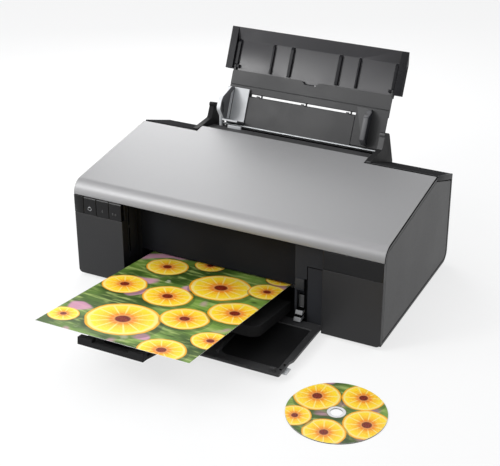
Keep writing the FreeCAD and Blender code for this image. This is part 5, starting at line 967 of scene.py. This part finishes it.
def sloped_bar(name, across, along, high, rim, foot, slope_deg, host, finish_name):
    """A bar between two x, along a slope from a foot (y, z), between two heights over the slope, in mm."""
    slope = math.radians(slope_deg)
    middle = Matrix.Rotation(slope, 3, "X") @ Vector((0, sum(along) / 2, sum(high) / 2))
    middle += Vector((sum(across) / 2, *foot))
    size = [abs(end - start) / 1000 for start, end in (across, along, high)]
    return rounded_cube(name, middle / 1000, size, slope, rim, host, finish_name)


finish("deck_skirt", (0.026, 0.026, 0.027), 0.42, COARSE, 0.0, specular=0.04)
DECK_BARS = (
    # name, across on the right, along the slope, heights over it, rounding, finish
    ("deck_end_", (221.6, 225.15), (3.4, 75.2), (-8.2, 0), 1.0, "deck_skirt"),
    ("deck_joint_", (222.5, 225.1), (3.6, 74.8), (-8.8, -8.0), 0.15, "gap_black"),
)
for side, sign in (("left", -1), ("right", 1)):
    for name, across, along, high, rim, finish_name in DECK_BARS:
        mirrored = [x * sign for x in across]
        sloped_bar(
            name + side, mirrored, along, high, rim, DECK_TOP_FRONT, DECK_SLOPE_DEG, "rear_deck",
            finish_name,
        )
print("two deck ends and their joints")

# %% [markdown]
# The lip of the right guide follows the front edge of its upright in three straight lengths. It could be
# one outline drawn along a path, but the helper is here already, and the bars' round ends overlap at the
# bends.

# %% Lip of the right guide
LIP_ACROSS, LIP_HIGH, LIP_RIM = (89.8, 97.2), (-2.8, 0.4), 1.4
GUIDE_LIP = (
    # name, along the slope, foot (y, z), slope in degrees
    ("guide_lip_foot", (-0.5, 12.8), (123.0, 154.6), 121.1),
    ("guide_lip_front", (-1.6, 31.2), (116.7, 166.0), 65.9),
    ("guide_lip_top", (-1.2, 15.0), (130.2, 195.8), 13.9),
)
# The lip's grey is lighter than the plate beside it: a painted highlight along the rounded lip.
for name, along, foot, slope_deg in GUIDE_LIP:
    sloped_bar(
        name, LIP_ACROSS, along, LIP_HIGH, LIP_RIM, foot, slope_deg, "right_edge_guide", "guide_shade"
    )
print(len(GUIDE_LIP), "bars of the guide's lip")

# %% [markdown]
# Under the lid the six cartridges carry a coloured label each, and the carriage shows them through its
# open front. The labels are plain: a coloured field with a pale band.

# %% Cartridge labels
INKS = (
    ("black", (0.010, 0.010, 0.011)), ("cyan", (0.0, 0.22, 0.55)), ("magenta", (0.50, 0.01, 0.16)),
    ("yellow", (0.85, 0.60, 0.01)), ("light_cyan", (0.22, 0.55, 0.72)),
    ("light_magenta", (0.75, 0.34, 0.50)),
)
LABEL_SUNK, LABEL_PROUD, LABEL_RIM = 0.1, 0.3, 0.15
LABEL_LEFT, LABEL_RIGHT = 1.2, 2.2  # from the left of one cartridge, and to the left of the next
FIELD_FRONT, FIELD_BACK = 2, 12  # from the cartridge's front, and from its back
BAND_FRONT, BAND_BACK = 11, 8  # both from its back
INK_GAP = 0.8  # between two cartridges
ink_low, ink_high = (Vector(corner) * 1000 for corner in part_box("ink_cartridges"))
pitch = (ink_high.x - ink_low.x + INK_GAP) / len(INKS)
for number, (ink, colour) in enumerate(INKS):
    finish("label_" + ink, colour, 0.35, FINE, 0.0)
    left = ink_low.x + number * pitch
    for label, front, back, finish_name in (
        ("label_", ink_low.y + FIELD_FRONT, ink_high.y - FIELD_BACK, "label_" + ink),
        ("label_band_", ink_high.y - BAND_FRONT, ink_high.y - BAND_BACK, "sign_white"),
    ):
        low = (left + LABEL_LEFT, front, ink_high.z - LABEL_SUNK)
        high = (left + pitch - LABEL_RIGHT, back, ink_high.z + LABEL_PROUD)
        rounded_block(label + ink, low, high, LABEL_RIM, "ink_cartridges", finish_name)
print(len(INKS), "labels on", [round(v, 1) for v in ink_low], [round(v, 1) for v in ink_high])
